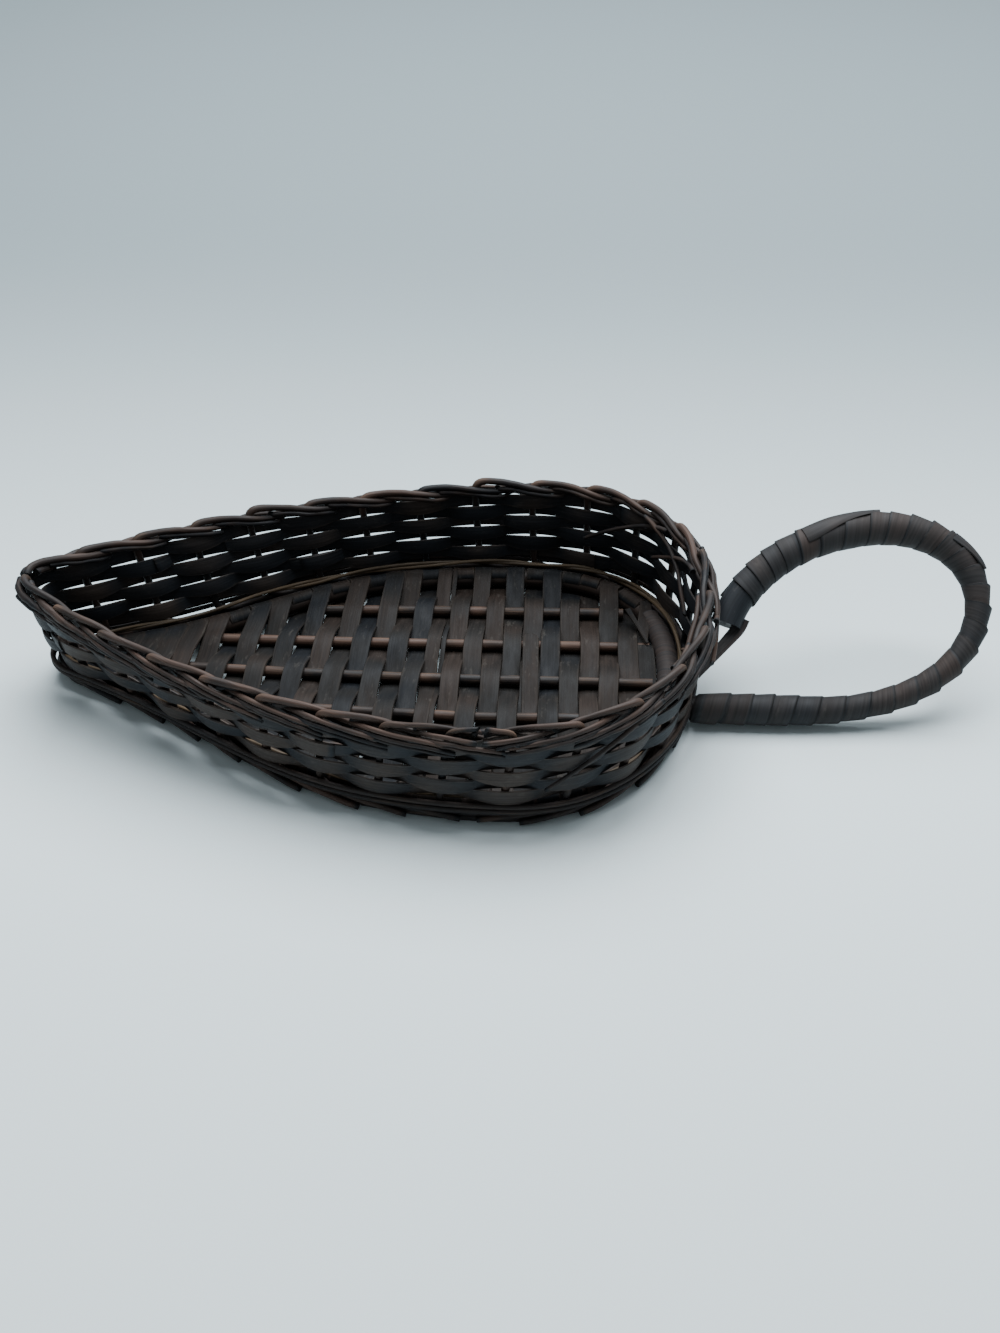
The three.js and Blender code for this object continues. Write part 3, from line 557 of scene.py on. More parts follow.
@dataclass(frozen=True)
class Leaf:
    """Outline of the leaf. tip and end are measured from its widest place."""

    tip: float
    half: float
    end: float
    slant_x: float
    slant_y: float
    shoulder: float
    tip_drift: float = 0.0
    end_drift: float = 0.0
    rounding: float = 15.0
    fullness: float = 0.62

    def line(self, offset: float, steps: int) -> Array:
        """Walks the outline anticlockwise from its tip.

        Args:
            offset: Distance outwards from the outline.
            steps: How many equal steps are wanted.

        Returns:
            Points in the plane, one a row.
        """
        tip, half, end = (size - self.rounding for size in (self.tip, self.half, self.end))
        first = ((-tip, 0), (self.slant_x - tip, -self.slant_y), (-self.shoulder, -half), (0, -half))
        last = ((0, -half), (self.fullness * end, -half), (end, -self.fullness * half), (end, 0))
        fine = 1500
        side = even(np.vstack([cubic(first, fine), cubic(last, fine)[1:]]), fine)
        along = unit(np.gradient(side, axis=0))
        out = np.stack([along[:, 1], -along[:, 0]], 1)
        reach = self.rounding + offset
        start = math.atan2(out[0, 1], out[0, 0]) % (2 * math.pi)
        turn = np.linspace(math.pi, start, 120, endpoint=False)
        arc = np.stack([-tip + reach * np.cos(turn), reach * np.sin(turn)], 1)
        lower = np.vstack([arc, side + out * reach])
        upper = lower[1:-1][::-1] * (1, -1)
        outline = np.vstack([lower, upper])
        outline[:, 1] += self.drift(outline[:, 0])
        return even(outline, steps, closed=True)

    def drift(self, x: Array | float) -> Array | float:
        """Tells how far the bent outline's middle line has moved aside at a place along it."""
        return np.where(np.asarray(x) < 0, self.tip_drift * (x / self.tip) ** 2,
                        self.end_drift * (x / self.end) ** 2)


def mitred(line: Array) -> Array:
    """Gives the outward direction at each point of a closed line, anticlockwise in the plane."""
    along = tangents(line, True)
    return np.stack([along[:, 1], -along[:, 0]], 1)


@dataclass
class Shell:
    """The leaf-shaped surface that the stakes stand on, from the foot to the rim."""

    foot: Leaf = Leaf(227, 96.5, 85, 100, 35, 112, 12, 12)
    rim: Leaf = Leaf(236, 101.5, 94, 66, 53, 68)
    height_at_tip: float = 66.0
    height_at_middle: float = 57.5
    height_at_end: float = 66.0
    stakes: int = 28
    fine: int = 16

    def __post_init__(self) -> None:
        """Draws the two outlines once, finely."""
        self.stations = 2 * self.stakes
        count = self.stations * self.fine
        self.foot_line = self.foot.line(0, count)
        self.rim_line = self.rim.line(0, count)
        self.normals = mitred(self.foot_line + self.rim_line)
        middle = (self.rim.end - self.rim.tip) / 2
        share = (self.rim_line[:, 0] - middle) / (self.rim.end - middle)
        top = np.where(share < 0, self.height_at_tip, self.height_at_end)
        self.heights = self.height_at_middle + (top - self.height_at_middle) * share ** 2

    def pick(self, values: Array, station: Array) -> Array:
        """Reads an outline's values at stations along the wall, two to a stake."""
        return between(values, np.asarray(station, float) * self.fine)

    def rim_height(self, station: Array) -> Array:
        """Gives the height of the rim along the wall."""
        return self.pick(self.heights, station)

    def at(self, station: Array, z: Array, out: Array) -> Array:
        """Finds places on the wall.

        Args:
            station: Places along it, two to a stake.
            z: Heights above the table.
            out: Distances outwards from the stakes' line.

        Returns:
            Points in space, one a row.
        """
        station, z, out = np.broadcast_arrays(np.asarray(station, float), z, out)
        share = (z / self.rim_height(station))[:, None]
        foot, rim = (self.pick(line, station) for line in (self.foot_line, self.rim_line))
        flat = foot * (1 - share) + rim * share
        flat = flat + unit(self.pick(self.normals, station)) * out[:, None]
        return np.concatenate([flat, z[:, None]], 1)

    def outward(self, station: Array) -> Array:
        """Gives the level directions out of the wall."""
        flat = unit(self.pick(self.normals, np.asarray(station, float)))
        return np.concatenate([flat, np.zeros((len(flat), 1))], 1)


@dataclass
class Base:
    """Bent hoop, crossed by flat splints that weave over and under round ribs."""

    shell: Shell
    hoop_radius: float = 4.5
    hoop_inset: float = 7.8424
    height: float = 5.9
    wrap_radius: float = 5.35
    wrap_top: float = 102.5
    wrap_underside: float = -117.5
    landing_radius: float = 6.0315
    splint_width: float = 9.95
    splint_thickness: float = 1.1
    splint_pitch: float = 9.8
    splint_count: int = 26
    first_splint_x: float = -188.0
    splint_slant: float = 0.17
    tip_splints: int = 2
    turning_room: float = 26.0
    # A split splint and a narrow one: width, offset and mark of each of their strips.
    odd_splints: dict = field(default_factory=lambda: {
        15: ((7.3, -1.3), (2.4, 3.8, "_split")), 17: ((9.5, -0.1),)})
    rib_radius: float = 2.7
    rib_spacing: float = 29.0
    rib_convergence: float = 0.35
    rib_spans: tuple = ((-106, 46), (-153, 63), (-204, 69), (-154, 68), (-107, 55))
    rib_tones: tuple = (0.45, 0.4, 0.3, 0.9, 0.55)
    binding_width: float = 9.2
    binding_from: float = 32.68
    binding_to: float = 41.15
    binding_gaps: tuple = (8.8, 2.4, 2.9, 8.6, 8.2, 2.6)
    # Ends and width of the short splint of the round end, and of the loose tail beside it.
    patch: tuple = (((63.8, 29.0, 6.6), (66.9, 62.0, 11.4)), 6.4)
    tail: tuple = (((57.0, 54.5, 11.9), (66.8, 27.0, 10.9)), 3.0)
    cad_steps: int = 72
    fine: int = 10

    def __post_init__(self) -> None:
        """Draws the hoop's centre line once, finely."""
        self.line = self.shell.foot.line(-self.hoop_inset, self.cad_steps * self.fine)
        self.normals = mitred(self.line)

    def hoop_at(self, step: Array) -> tuple[Array, Array]:
        """Finds places on the hoop's centre line.

        Args:
            step: Places along it, 72 to the whole hoop.

        Returns:
            Points and outward directions, one a row.
        """
        turn = np.atleast_1d(np.asarray(step, float)) * self.fine
        place = between(self.line, turn)
        out = unit(between(self.normals, turn))
        level = np.zeros((len(place), 1))
        return np.concatenate([place, level + self.height], 1), np.concatenate([out, level], 1)

    def rib_y(self, rib: int, x: Array | float) -> Array | float:
        """Gives a rib's place across the base, at places along it."""
        straight = (rib - 2) * self.rib_spacing
        short = np.minimum(x, 0)
        closing = 1 - self.rib_convergence * (short / self.shell.foot.tip) ** 2
        return straight * closing + self.shell.foot.drift(short)

    def crossings(self, x: float, slant: float, angle: float) -> tuple[float, float]:
        """Finds where a splint meets the hoop.

        Args:
            x: Where the splint crosses the middle line.
            slant: How far it leans along the base for each millimetre across.
            angle: Where round the hoop it meets it, in degrees from its outside upwards.

        Returns:
            The steps along the hoop, on the near side and on the far side.
        """
        landing = self.line + self.normals * self.landing_radius * math.cos(math.radians(angle))
        ahead = landing[:, 0] - slant * landing[:, 1] - x
        after = np.roll(ahead, -1)
        hits = np.nonzero((ahead * after <= 0) & (ahead != after))[0]
        steps = [(i + ahead[i] / (ahead[i] - after[i])) / self.fine for i in hits]
        near, far = sorted(steps, key=lambda step: self.hoop_at(step)[0][0, 1])[:: len(steps) - 1]
        return near, far

    def wrap(self, step: float, across: Array, over: bool, width: float, offset: float,
             rng: np.random.Generator) -> tuple[Array, Array]:
        """Takes a splint's end round the hoop from its inside, over it or under it.

        Args:
            step: Place on the hoop.
            across: Level direction square to the splint.
            over: Whether it goes over the hoop first.
            width: Width of the strip.
            offset: How far the strip lies beside the splint's middle line.
            rng: Source of chance, for how far the end is tucked in.

        Returns:
            Points of the path from the inside on, and the vectors to the splint's edge.
        """
        place, out = (row[0] for row in self.hoop_at(step))
        along = np.array([-out[1], out[0], 0.0])
        skew = 1 / float(along @ across)
        place = place + along * (offset * skew)
        tuck = rng.uniform(4, 18)
        if over:
            angle = np.radians(np.linspace(self.wrap_top, self.wrap_underside - 16 - tuck, 34))
            turned = self.wrap_top - np.degrees(angle)
        else:
            angle = np.radians(np.linspace(self.wrap_underside, self.wrap_top + 30 + tuck, 34))
            turned = np.degrees(angle) - self.wrap_underside
        ride = np.interp(turned, [0, 205, 222, 265], [1, 1, 0.95, 0.8]) * self.wrap_radius
        path = around(place, out, UP, ride, angle)
        return path, np.repeat((along * (width / 2 * skew))[None], len(path), 0)

    def crossed(self, number: int, x: float, slant: float, near_y: float, far_y: float) -> tuple:
        """Tells which ribs a splint crosses and which of them and of the hoop it goes over.

        Args:
            number: Which splint, counted from the tip.
            x: Where it crosses the middle line.
            slant: How far it leans.
            near_y: Where it meets the near side of the hoop.
            far_y: Where it meets the far side.

        Returns:
            Rows of a rib's place and whether the splint goes over it, then whether it goes
            over the hoop on the near side and on the far side.
        """
        rows = []
        for rib, (low, high) in enumerate(self.rib_spans):
            y = float(self.rib_y(rib, x + slant * float(self.rib_y(rib, x))))
            reach = self.splint_width / 2 + 0.2
            if low - reach <= x + slant * y <= high + reach:
                rows.append([y, (number + rib) % 2 == 0, min(far_y - y, y - near_y)])
        free = [row for row in rows if row[2] >= self.turning_room]
        near_over = not free or not free[0][1]
        far_over = not free or not free[-1][1]
        middle = (near_y + far_y) / 2
        return [(y, over if room >= self.turning_room else (near_over if y < middle else far_over))
                for y, over, room in rows], near_over, far_over

    def splint(self, number: int, rng: np.random.Generator, width: float, offset: float = 0.0,
               mark: str = "") -> Strand:
        """Lays one splint across the base.

        Args:
            number: Which one, counted from the tip.
            rng: Source of chance.
            width: Width of the strip.
            offset: How far it lies beside the splint's middle line.
            mark: What is added to the piece's name.

        Returns:
            The strand.
        """
        x = self.first_splint_x + number * self.splint_pitch
        slant = self.splint_slant * max(0.0, x / self.first_splint_x) + rng.normal() * 0.003
        across = unit(np.array([1.0, -slant, 0.0]))
        sides = {over: self.crossings(x, slant, self.wrap_top if over else self.wrap_underside)
                 for over in (True, False)}
        ends = [self.hoop_at(step)[0][0, 1] for step in sides[True]]
        rows, near_over, far_over = self.crossed(number, x, slant, ends[0], ends[1])
        near_path, near_half = self.wrap(sides[near_over][0], across, near_over, width, offset, rng)
        far_path, far_half = self.wrap(sides[far_over][1], across, far_over, width, offset, rng)
        start, stop = near_path[0], far_path[0]
        rise = self.rib_radius + 0.4 + self.splint_thickness / 2
        knots = [(start[1], start[2])]
        knots += [(y, self.height + (rise if over else -rise)) for y, over in rows]
        knots.append((stop[1], stop[2]))
        run = np.linspace(start[1], stop[1], max(10, int((stop[1] - start[1]) / 1.4)))
        z = stepped(run, *np.array(knots).T)
        bend = 0.38 * sway(rng, len(run), 3) * np.sin(math.pi * np.linspace(0, 1, len(run)))
        lean = np.interp(run, [start[1], stop[1]], [start[0], stop[0]])
        middle = np.stack([lean + bend, run, z], 1)[1:-1]
        path = np.vstack([near_path[::-1], middle, far_path])
        share = ease(np.minimum(run - run[0], run[-1] - run) / 14)[1:-1, None]
        dip = np.clip((self.height - z[1:-1, None]) / rise, 0, 1)
        plain = (across * width / 2) * (1 + 0.2 * dip)
        toward = np.where((run < (run[0] + run[-1]) / 2)[1:-1, None], near_half[:1], far_half[:1])
        half = np.vstack([near_half[::-1], plain * share + toward * (1 - share), far_half])
        half = half * (1 + 0.05 * rough(rng, 200, len(path), 22))[:, None]
        near_end, far_end = (ease((np.abs(path[:, 1] - end[1]) - 4) / 8) for end in (start, stop))
        inner = near_end * far_end
        half[:, 2] += inner * (0.35 + 0.5 * rough(rng, 200, len(path), 25)) * rng.uniform(-0.8, 0.8)
        shade = 0.35 * rough(rng, 200, len(path), 14)
        name = f"base_splint_{number + 1:02d}{mark}" if number >= 0 else f"tip_splint_{-number}"
        return Strand(
            name, Section.FLAT, path, half, self.splint_thickness, SPLINTS, ("base_hoop",),
            crown=0.2, tone=drawn(rng, 0.5, 0.26, 0.0, 1.0), shade=shade, soaked=3.0)

    def rib(self, number: int, rng: np.random.Generator) -> Strand:
        """Lays one round rib along the base."""
        count = 90
        x = np.linspace(*self.rib_spans[number], count)
        y = self.rib_y(number, x) + 0.3 * sway(rng, count, 2)
        path = np.stack([x, y, np.full(count, self.height)], 1)
        radius = self.rib_radius * (1 + 0.04 * rough(rng, 160, count, 12))
        return Strand(
            f"rib_rod_{number + 1}", Section.ROUND, path, np.repeat(UP[None], count, 0), radius,
            RODS, (f"base_rib_{number + 1}",), sides=14, tone=self.rib_tones[number], wear=0.45,
            shade=0.5 * rough(rng, 160, count, 9))

    def binding(self, rng: np.random.Generator) -> Strand:
        """Winds the flat strip round the bare end of the hoop, each turn lapping the last."""
        step_length = reached(self.line, True)[-1] / self.cad_steps
        length = (self.binding_to - self.binding_from) * step_length
        gaps = []
        while sum(gaps) < length:
            for gap in self.binding_gaps[: rng.integers(2, 7)]:
                gaps.append(gap * rng.uniform(0.9, 1.1))
        turns = len(gaps)
        starts = np.concatenate([[0.0], np.cumsum(gaps)]) * length / sum(gaps)
        count = turns * 26
        turn = np.linspace(0, turns, count)
        at = np.interp(turn, np.arange(turns + 1), starts) / step_length + self.binding_from
        angle = -math.pi / 2 + turn * 2 * math.pi
        half_step = self.binding_width / 2 / step_length
        edges = []
        for edge, radius in ((-1, self.hoop_radius + 0.2), (1, self.hoop_radius + 1.1)):
            place, out = self.hoop_at(at + edge * half_step)
            edges.append(around(place, out, UP, radius, angle))
        # Painted shadow darkens both edges of every turn of the strip.
        return Strand(
            "hoop_binding_strip", Section.FLAT, *strip_between(edges), 0.6, WRAPS, ("hoop_binding",),
            crown=0.0, tone=0.8, wear=0.1, seam_shadow=-1.5, shade=0.25 * rough(rng, count, count, 16))

    def end_splint(self, rng: np.random.Generator) -> Strand:
        """Lays the short last splint, whose ends are tucked under the bound end of the hoop."""
        x, reach, tucked_from, count = 66.2, 31.0, 27, 60
        y = np.linspace(-reach, reach, count)
        knots = np.array([-reach] + [float(self.rib_y(rib, x)) for rib in (1, 2, 3)] + [reach])
        rise = self.rib_radius + 0.4 + self.splint_thickness / 2
        levels = np.array([0.8, rise, -rise, rise, 0.8]) * (1, 0.9, 1, 0.9, 1) + self.height
        z = stepped(y, knots, levels)
        beyond = np.abs(y) - tucked_from
        z = np.where(beyond > 0, np.minimum(z, self.height - 0.8 * beyond), z)
        path = np.stack([x - (y / 21.0) ** 2, y, z], 1)
        half = np.repeat(np.array([[self.splint_width / 2 + 0.4, 0, 0]]), count, 0)
        return Strand("base_splint_27", Section.FLAT, path, half, 1.0, SPLINTS, ("base_hoop",),
                      crown=0.2, tone=0.35, shade=0.2 * rough(rng, count, count, 14))

    def tongue(self) -> Strand:
        """Lays the loose splint whose round end shows, its other end held under a rib."""
        y = np.linspace(-25.5, 34.0, 50)
        z = stepped(y, np.array([-27.0, 0.0, 29.0, 36.0]), np.array([4.0, 10.8, 10.1, 9.9]))
        path = np.stack([8.4 - 0.02 * y, y, z], 1)
        taper = np.sqrt(np.clip(1.02 - np.clip((y - 29.2) / 4.8, 0, 1) ** 2, 0.02, 1))
        half = taper[:, None] * np.array([4.1, 0.0, 0.0])
        return Strand("loose_splint_tongue", Section.FLAT, path, half, 0.9, SPLINTS, crown=0.25,
                      tone=0.75, wear=0.2)

    def scrap(self, name: str, ends: tuple, width: float, point: float) -> Strand:
        """Lays a loose end of a splint that lies on the woven base.

        Args:
            name: Name of the piece.
            ends: Its two ends.
            width: Its width.
            point: Share of its width that is left at its last end.

        Returns:
            The strand.
        """
        share = np.linspace(0, 1, 24)
        start, stop = (np.array(end) for end in ends)
        path = start + (stop - start) * share[:, None]
        path[:, 2] += 0.5 * np.sin(math.pi * share)
        side = unit(np.cross(UP, stop - start)) * width / 2
        taper = 1 - (1 - point) * share
        return Strand(name, Section.FLAT, path, side * taper[:, None], 0.9, SPLINTS, crown=0.2,
                      tone=0.7, wear=0.2, shade=np.where(share < 0.2, -0.3, 0.0))

    def build(self) -> None:
        """Makes every piece of the base."""
        rng = np.random.default_rng(SEED)
        path, out = self.hoop_at(np.arange(0, self.cad_steps, 0.2))
        Strand("hoop_rod", Section.ROUND, path, out, self.hoop_radius, RODS, ("base_hoop",),
               closed=True, sides=18, tone=0.25).build(rng)
        for number in range(self.splint_count):
            plain = ((self.splint_width * rng.uniform(0.975, 1.02),),)
            for strip in self.odd_splints.get(number, plain):
                self.splint(number, rng, *strip).build(rng)
        short = np.random.default_rng(SEED + 3)
        for number in range(self.tip_splints):
            self.splint(-1 - number, short, self.splint_width).build(short)
        self.end_splint(rng).build(rng)
        for number in range(len(self.rib_spans)):
            self.rib(number, rng).build(rng)
        self.binding(rng).build(rng)
        self.scrap("base_splint_28", *self.patch, 1.0).build(rng)
        self.tongue().build(rng)
        self.scrap("loose_splint_tail", *self.tail, 0.5).build(rng)


@dataclass
class Wall:
    """Round stakes with flat weavers in and out between them, and the laid-down border.

    The laps are rows of how many stakes along, how far up from the table or down from the rim
    and how far out, the last two in the radius of a stake. Along the rim a stake goes behind
    the next one, comes out under that one's lap and goes in front of the second.
    """

    shell: Shell
    stake_radius: float = 1.9
    station_length: float = 14.6
    foot_lap: tuple = ((0, 5.79, 0), (0.2, 4.32, 0.37), (0.5, 3.68, 1.26), (1, 2.95, 2.58),
                       (1.5, 1.68, 3.05), (1.75, 1.21, 3.1))
    border_lap: tuple = ((0, 2.95, 0), (0.04, 1.5, 0), (0.12, 0.75, 0), (0.25, 0.55, -0.1),
                         (0.5, 0.45, -0.7), (0.75, 0.65, -1.5), (1, 1.3, -2.3), (1.12, 1.7, -2.2),
                         (1.25, 2.15, -1.85), (1.5, 2.65, -0.9), (1.75, 2.25, 1), (2, 2, 2.5),
                         (2.25, 2.5, 3.05), (2.5, 3.1, 3.1), (3, 4.35, 3.15), (3.15, 4.6, 3.15))
    last_forward_stake: int = 8
    meeting: float = 8.5
    meeting_room: float = 0.06
    mate_radius: float = 1.25
    foot_tightness: float = 0.55
    border_tightness: float = 0.64
    tip_limit: float = -237.9
    tip_rods: tuple = (-2, -1, 28, 29, 30)
    tip_starts: tuple = (0.02, 0.16, 0.05, 0.2, 0.1)
    proud_stakes: tuple = (20, 24, 15)
    dropped_stake: int = 16
    round_end_station: float = 28.0
    waler_height: float = 12.7755
    # How far outside the stakes' line and above the waler each outer strand of the foot lies.
    foot_strands: tuple = ((3.4, 0.3), (3.8, -2.6), (-0.2, -7.6), (-0.5, -10.8), (1.4, -5.2))
    weaver_count: int = 6
    weaver_bottom: float = 14.6755
    border_depth: float = 6.0
    spread: float = 1.46
    pinch: float = 1.0
    strays: int = 9
    stray_start: float = 22.6
    stray_spacing: float = 1.35
    weaver_sway: float = 2.8
    weaver_thickness: float = 0.9

    def cut(self, lap: tuple, start: float, stop: float) -> Array:
        """Cuts a lap off at two counts of stakes, with new rows at the cuts."""
        rows = np.array(lap, float)
        ends = [[at, *(np.interp(at, rows[:, 0], rows[:, k]) for k in (1, 2))] for at in (start, stop)]
        inner = rows[(rows[:, 0] > start) & (rows[:, 0] < stop)]
        return np.vstack([ends[0], inner, ends[1]])

    def reach(self, number: int, lap: tuple) -> float:
        """Tells how many stakes along a lap runs before its end or the meeting place."""
        return min(lap[-1][0], abs(self.meeting - number) - self.meeting_room)

    def looseness(self, station: Array) -> Array:
        """Tells how far the work has loosened, which is most at the round end."""
        return np.exp(-((np.asarray(station, float) - self.round_end_station) / 5.0) ** 2)

    def painted_side_light(self, station: Array) -> Array:
        """Gives painted light and shade by side: painted light on the near side of the wall, and a
        little painted shade on the far side.
        """
        near = np.sin(2 * math.pi * np.asarray(station, float) / self.shell.stations)
        return np.maximum(near, 0.25 * near)

    def bent(self, number: int, foot: Array | None, border: Array, step: float,
             reach: float) -> tuple[Array, Array, Array, Array]:
        """Bends a rod softly along its laps.

        Args:
            number: Which stake it is, or would be.
            foot: Rows of its foot, from its cut end to the upright part.
            border: Rows of its border.
            step: Distance between the points of the result.
            reach: How far a bend is spread along the rod.

        Returns:
            Points of its middle line, each one's share of the length, its station along the
            wall and the level direction out of the wall there.
        """
        sense = -1 if number > self.last_forward_stake else 1
        parts = []
        if foot is not None:
            station = 2 * (number + sense * foot[:, 0])
            near = foot[:, 2] * self.foot_tightness
            parts.append(np.stack([station, foot[:, 1] * self.stake_radius, near], 1))
        station = 2 * (number + sense * border[:, 0])
        drop = border[:, 1] * self.stake_radius
        near = border[:, 2] * self.border_tightness
        parts.append(np.stack([station, self.shell.rim_height(station) - drop, near], 1))
        rows = np.vstack(parts) * (self.station_length, 1, self.stake_radius)
        lap = even(rows, 300) / (self.station_length, 1, 1)
        path = rounded(self.shell.at(*lap.T), step, reach)
        share = np.linspace(0, 1, len(path))
        station = np.interp(share, np.linspace(0, 1, len(lap)), lap[:, 0])
        return path, share, station, self.shell.outward(station)

    def rod(self, number: int, name: str, stands_for: str, foot: Array | None, border: Array,
            rng: np.random.Generator) -> Strand:
        """Bends one rod of the border, with or without a foot.

        Args:
            number: Which stake it is, or would be.
            name: Name of the piece.
            stands_for: CAD node that it replaces.
            foot: Rows of its foot, from its cut end to the upright part.
            border: Rows of its border.
            rng: Source of chance.

        Returns:
            The strand.
        """
        path, share, station, out = self.bent(number, foot, border, 1.6, 1.25)
        count = len(path)
        loose = self.looseness(station)
        high = ease((path[:, 2] / self.shell.rim_height(station) - 0.72) / 0.12)
        path = path + out * ((0.22 + 0.5 * loose * high) * rough(rng, 200, count, 15))[:, None]
        path[:, 2] += (0.25 + 0.7 * loose) * high * rough(rng, 200, count, 17)
        bend = path[np.argmin(np.linalg.norm(path - self.elbow(number), axis=1))]
        beside = np.linalg.norm(path - bend, axis=1)
        kink = np.exp(-(beside / 6.0) ** 2) * (0.0 if foot is None else 1.0)
        if number in self.proud_stakes:
            path[:, 2] += 2.3 * np.exp(-(beside / 15.0) ** 2) * high
        if number == self.dropped_stake:
            drop = ease((share - 0.86) / 0.14)
            path[:, 2] -= 11.0 * drop
            path = path + out * (1.6 * drop)[:, None]
        tail = 0.0 if foot is None else 0.24 * (1 - ease((share - 0.1) / 0.22))
        radius = self.stake_radius * (1.0 - tail - 0.42 * ease((share - 0.42) / 0.5) + 0.08 * kink
                                      + 0.06 * rough(rng, 200, count, 8))
        path[:, 0] = np.maximum(path[:, 0], self.tip_limit)
        # Painted light and shade: the stake's tone is raised on the near side of the wall and lowered
        # on the far side.
        return Strand(
            name, Section.ROUND, path, out, radius, STAKES, (stands_for,),
            tone=drawn(rng, 0.5, 0.2, 0.1, 0.9),
            wear=np.clip(0.1 + 0.45 * kink + 0.15 * high, 0, 1), slant=rng.uniform(-0.9, 0.9),
            soaked=2.2, shade=0.2 * kink + 0.15 * high - 0.15 + 0.14 * self.painted_side_light(station)
            + 0.25 * rough(rng, 200, count, 11))

    def elbow(self, number: int) -> Array:
        """Finds where a stake bends into the border."""
        station = np.array([2.0 * number])
        drop = self.border_lap[1][1] * self.stake_radius
        return self.shell.at(station, self.shell.rim_height(station) - drop, 0.0)[0]

    def stake(self, number: int, rng: np.random.Generator) -> Strand:
        """Bends one stake: its tail along the foot, upright, and laid along the rim."""
        run = self.reach(number, self.foot_lap) * rng.uniform(0.8, 1.0)
        foot = self.cut(self.foot_lap, 0, run)[::-1]
        border = self.cut(self.border_lap, 0, self.reach(number, self.border_lap))
        return self.rod(number, f"stake_rod_{number + 1:02d}", f"stake_{number + 1:02d}", foot,
                        border, rng)

    def mate(self, number: int, rng: np.random.Generator, row: int = 0) -> Strand:
        """Lays a thin rod along the lap of a stake, in the furrow below it.

        Args:
            number: Which stake it lies beside, or a number past the last for one at the tip.
            rng: Source of chance.
            row: Which of the rods below each other.

        Returns:
            The strand.
        """
        before = -number if number < 0 else max(0, number - self.shell.stakes + 0.2)
        start = rng.uniform(0.25, 0.5) + 0.3 * row + before
        past = abs(self.meeting - number) + rng.uniform(-0.45, 0.7)
        rows = self.cut(self.border_lap, start, max(start + 0.5, min(self.border_lap[-1][0], past)))
        path, share, station, out = self.bent(number, None, rows, 1.8, 1.6)
        count = len(path)
        aside = np.sign(np.sum((path - self.shell.at(station, path[:, 2], 0.0)) * out, 1) + 0.6)
        path = path + out * ((1.1 * aside + 0.3 * rough(rng, 200, count, 14))[:, None])
        path[:, 2] -= 2.3 + 1.9 * row + 0.35 * rough(rng, 200, count, 16)
        path[:, 0] = np.maximum(path[:, 0], self.tip_limit)
        radius = self.mate_radius * (1.05 - 0.12 * row - 0.3 * share + 0.08 * rough(rng, 200, count, 8))
        # Painted light and shade: the rod's tone is raised on the near side of the wall and lowered on
        # the far side.
        return Strand(
            f"border_mate_{number + 3:02d}{'_low' * row}", Section.ROUND, path, out, radius, STAKES,
            sides=10, tone=drawn(rng, 0.45, 0.25, 0.0, 1.0), wear=0.2,
            slant=rng.uniform(-0.9, 0.9), soaked=2.0,
            shade=0.1 * self.painted_side_light(station) + 0.25 * rough(rng, 200, count, 12))

    def tip_rod(self, place: int, rng: np.random.Generator) -> Strand:
        """Lays one of the rods that start the border at the tip, its end left proud."""
        number = self.tip_rods[place]
        before = -number if number < 0 else number - self.shell.stakes
        border = self.cut(self.border_lap, before + self.tip_starts[place],
                          self.reach(number, self.border_lap))
        return self.rod(number, f"tip_lap_rod_{place + 1}", f"tip_rod_{place + 1}", None, border, rng)

    def waling(self, part: int, rng: np.random.Generator) -> Strand:
        """Lays one of the thin rods round the foot: two twined inside, five outside."""
        station = np.arange(0, self.shell.stations, 0.125)
        if part > 1:
            aside, height = self.foot_strands[part - 2]
            out = np.full(len(station), aside)
            z = self.waler_height + height + 0.25 * sway(rng, len(station), 12, True)
            radius, finish, tone = 1.35 if part < 4 else 1.7, STAKES, 0.3
        else:
            turn = math.pi * station / 3.5 + part * math.pi + 0.8 * sway(rng, len(station), 5, True)
            out = -(self.stake_radius + 2.1) + 0.95 * np.cos(turn)
            z = self.waler_height + 0.1 + 0.95 * np.sin(turn)
            radius, finish, tone = 0.95, TWINE, 0.5
        path = self.shell.at(station, z, out)
        thick = radius * (0.97 + 0.03 * sway(rng, len(path), 9, True))
        return Strand(
            f"waling_strand_{part + 1}", Section.ROUND, path, self.shell.outward(station), thick,
            finish, ("waling_rod",), closed=True, sides=10, tone=tone, wear=0.3)

    def stray(self, number: int, rng: np.random.Generator) -> Strand:
        """Lays one thin rod that has sprung loose at the round end and runs slanting down.

        Args:
            number: Which one.
            rng: Source of chance.

        Returns:
            The strand.
        """
        sense = 1 if number % 2 else -1
        begin = self.stray_start + self.stray_spacing * number
        share = np.linspace(0, 1, 60)
        station = begin + sense * (3.0 + rng.uniform(0, 1.2)) * share
        fall = rng.uniform(20, 34)
        z = self.shell.rim_height(station) - 5.5 - fall * share ** 1.3
        side = -1 if number % 3 else 1
        out = side * (self.weaver_sway + 1.9) + 0.5 * rough(rng, 60, 60, 12) + side * 0.8 * share
        path = self.shell.at(station, z, out)
        radius = 1.25 * (1.05 - 0.25 * share + 0.06 * rough(rng, 60, 60, 8))
        return Strand(
            f"stray_rod_{number + 1}", Section.ROUND, path, self.shell.outward(station), radius,
            STAKES, sides=10, tone=float(rng.uniform(0.3, 0.75)), wear=0.2, slant=0.7, soaked=2.0,
            shade=0.25 * rough(rng, 60, 60, 12))

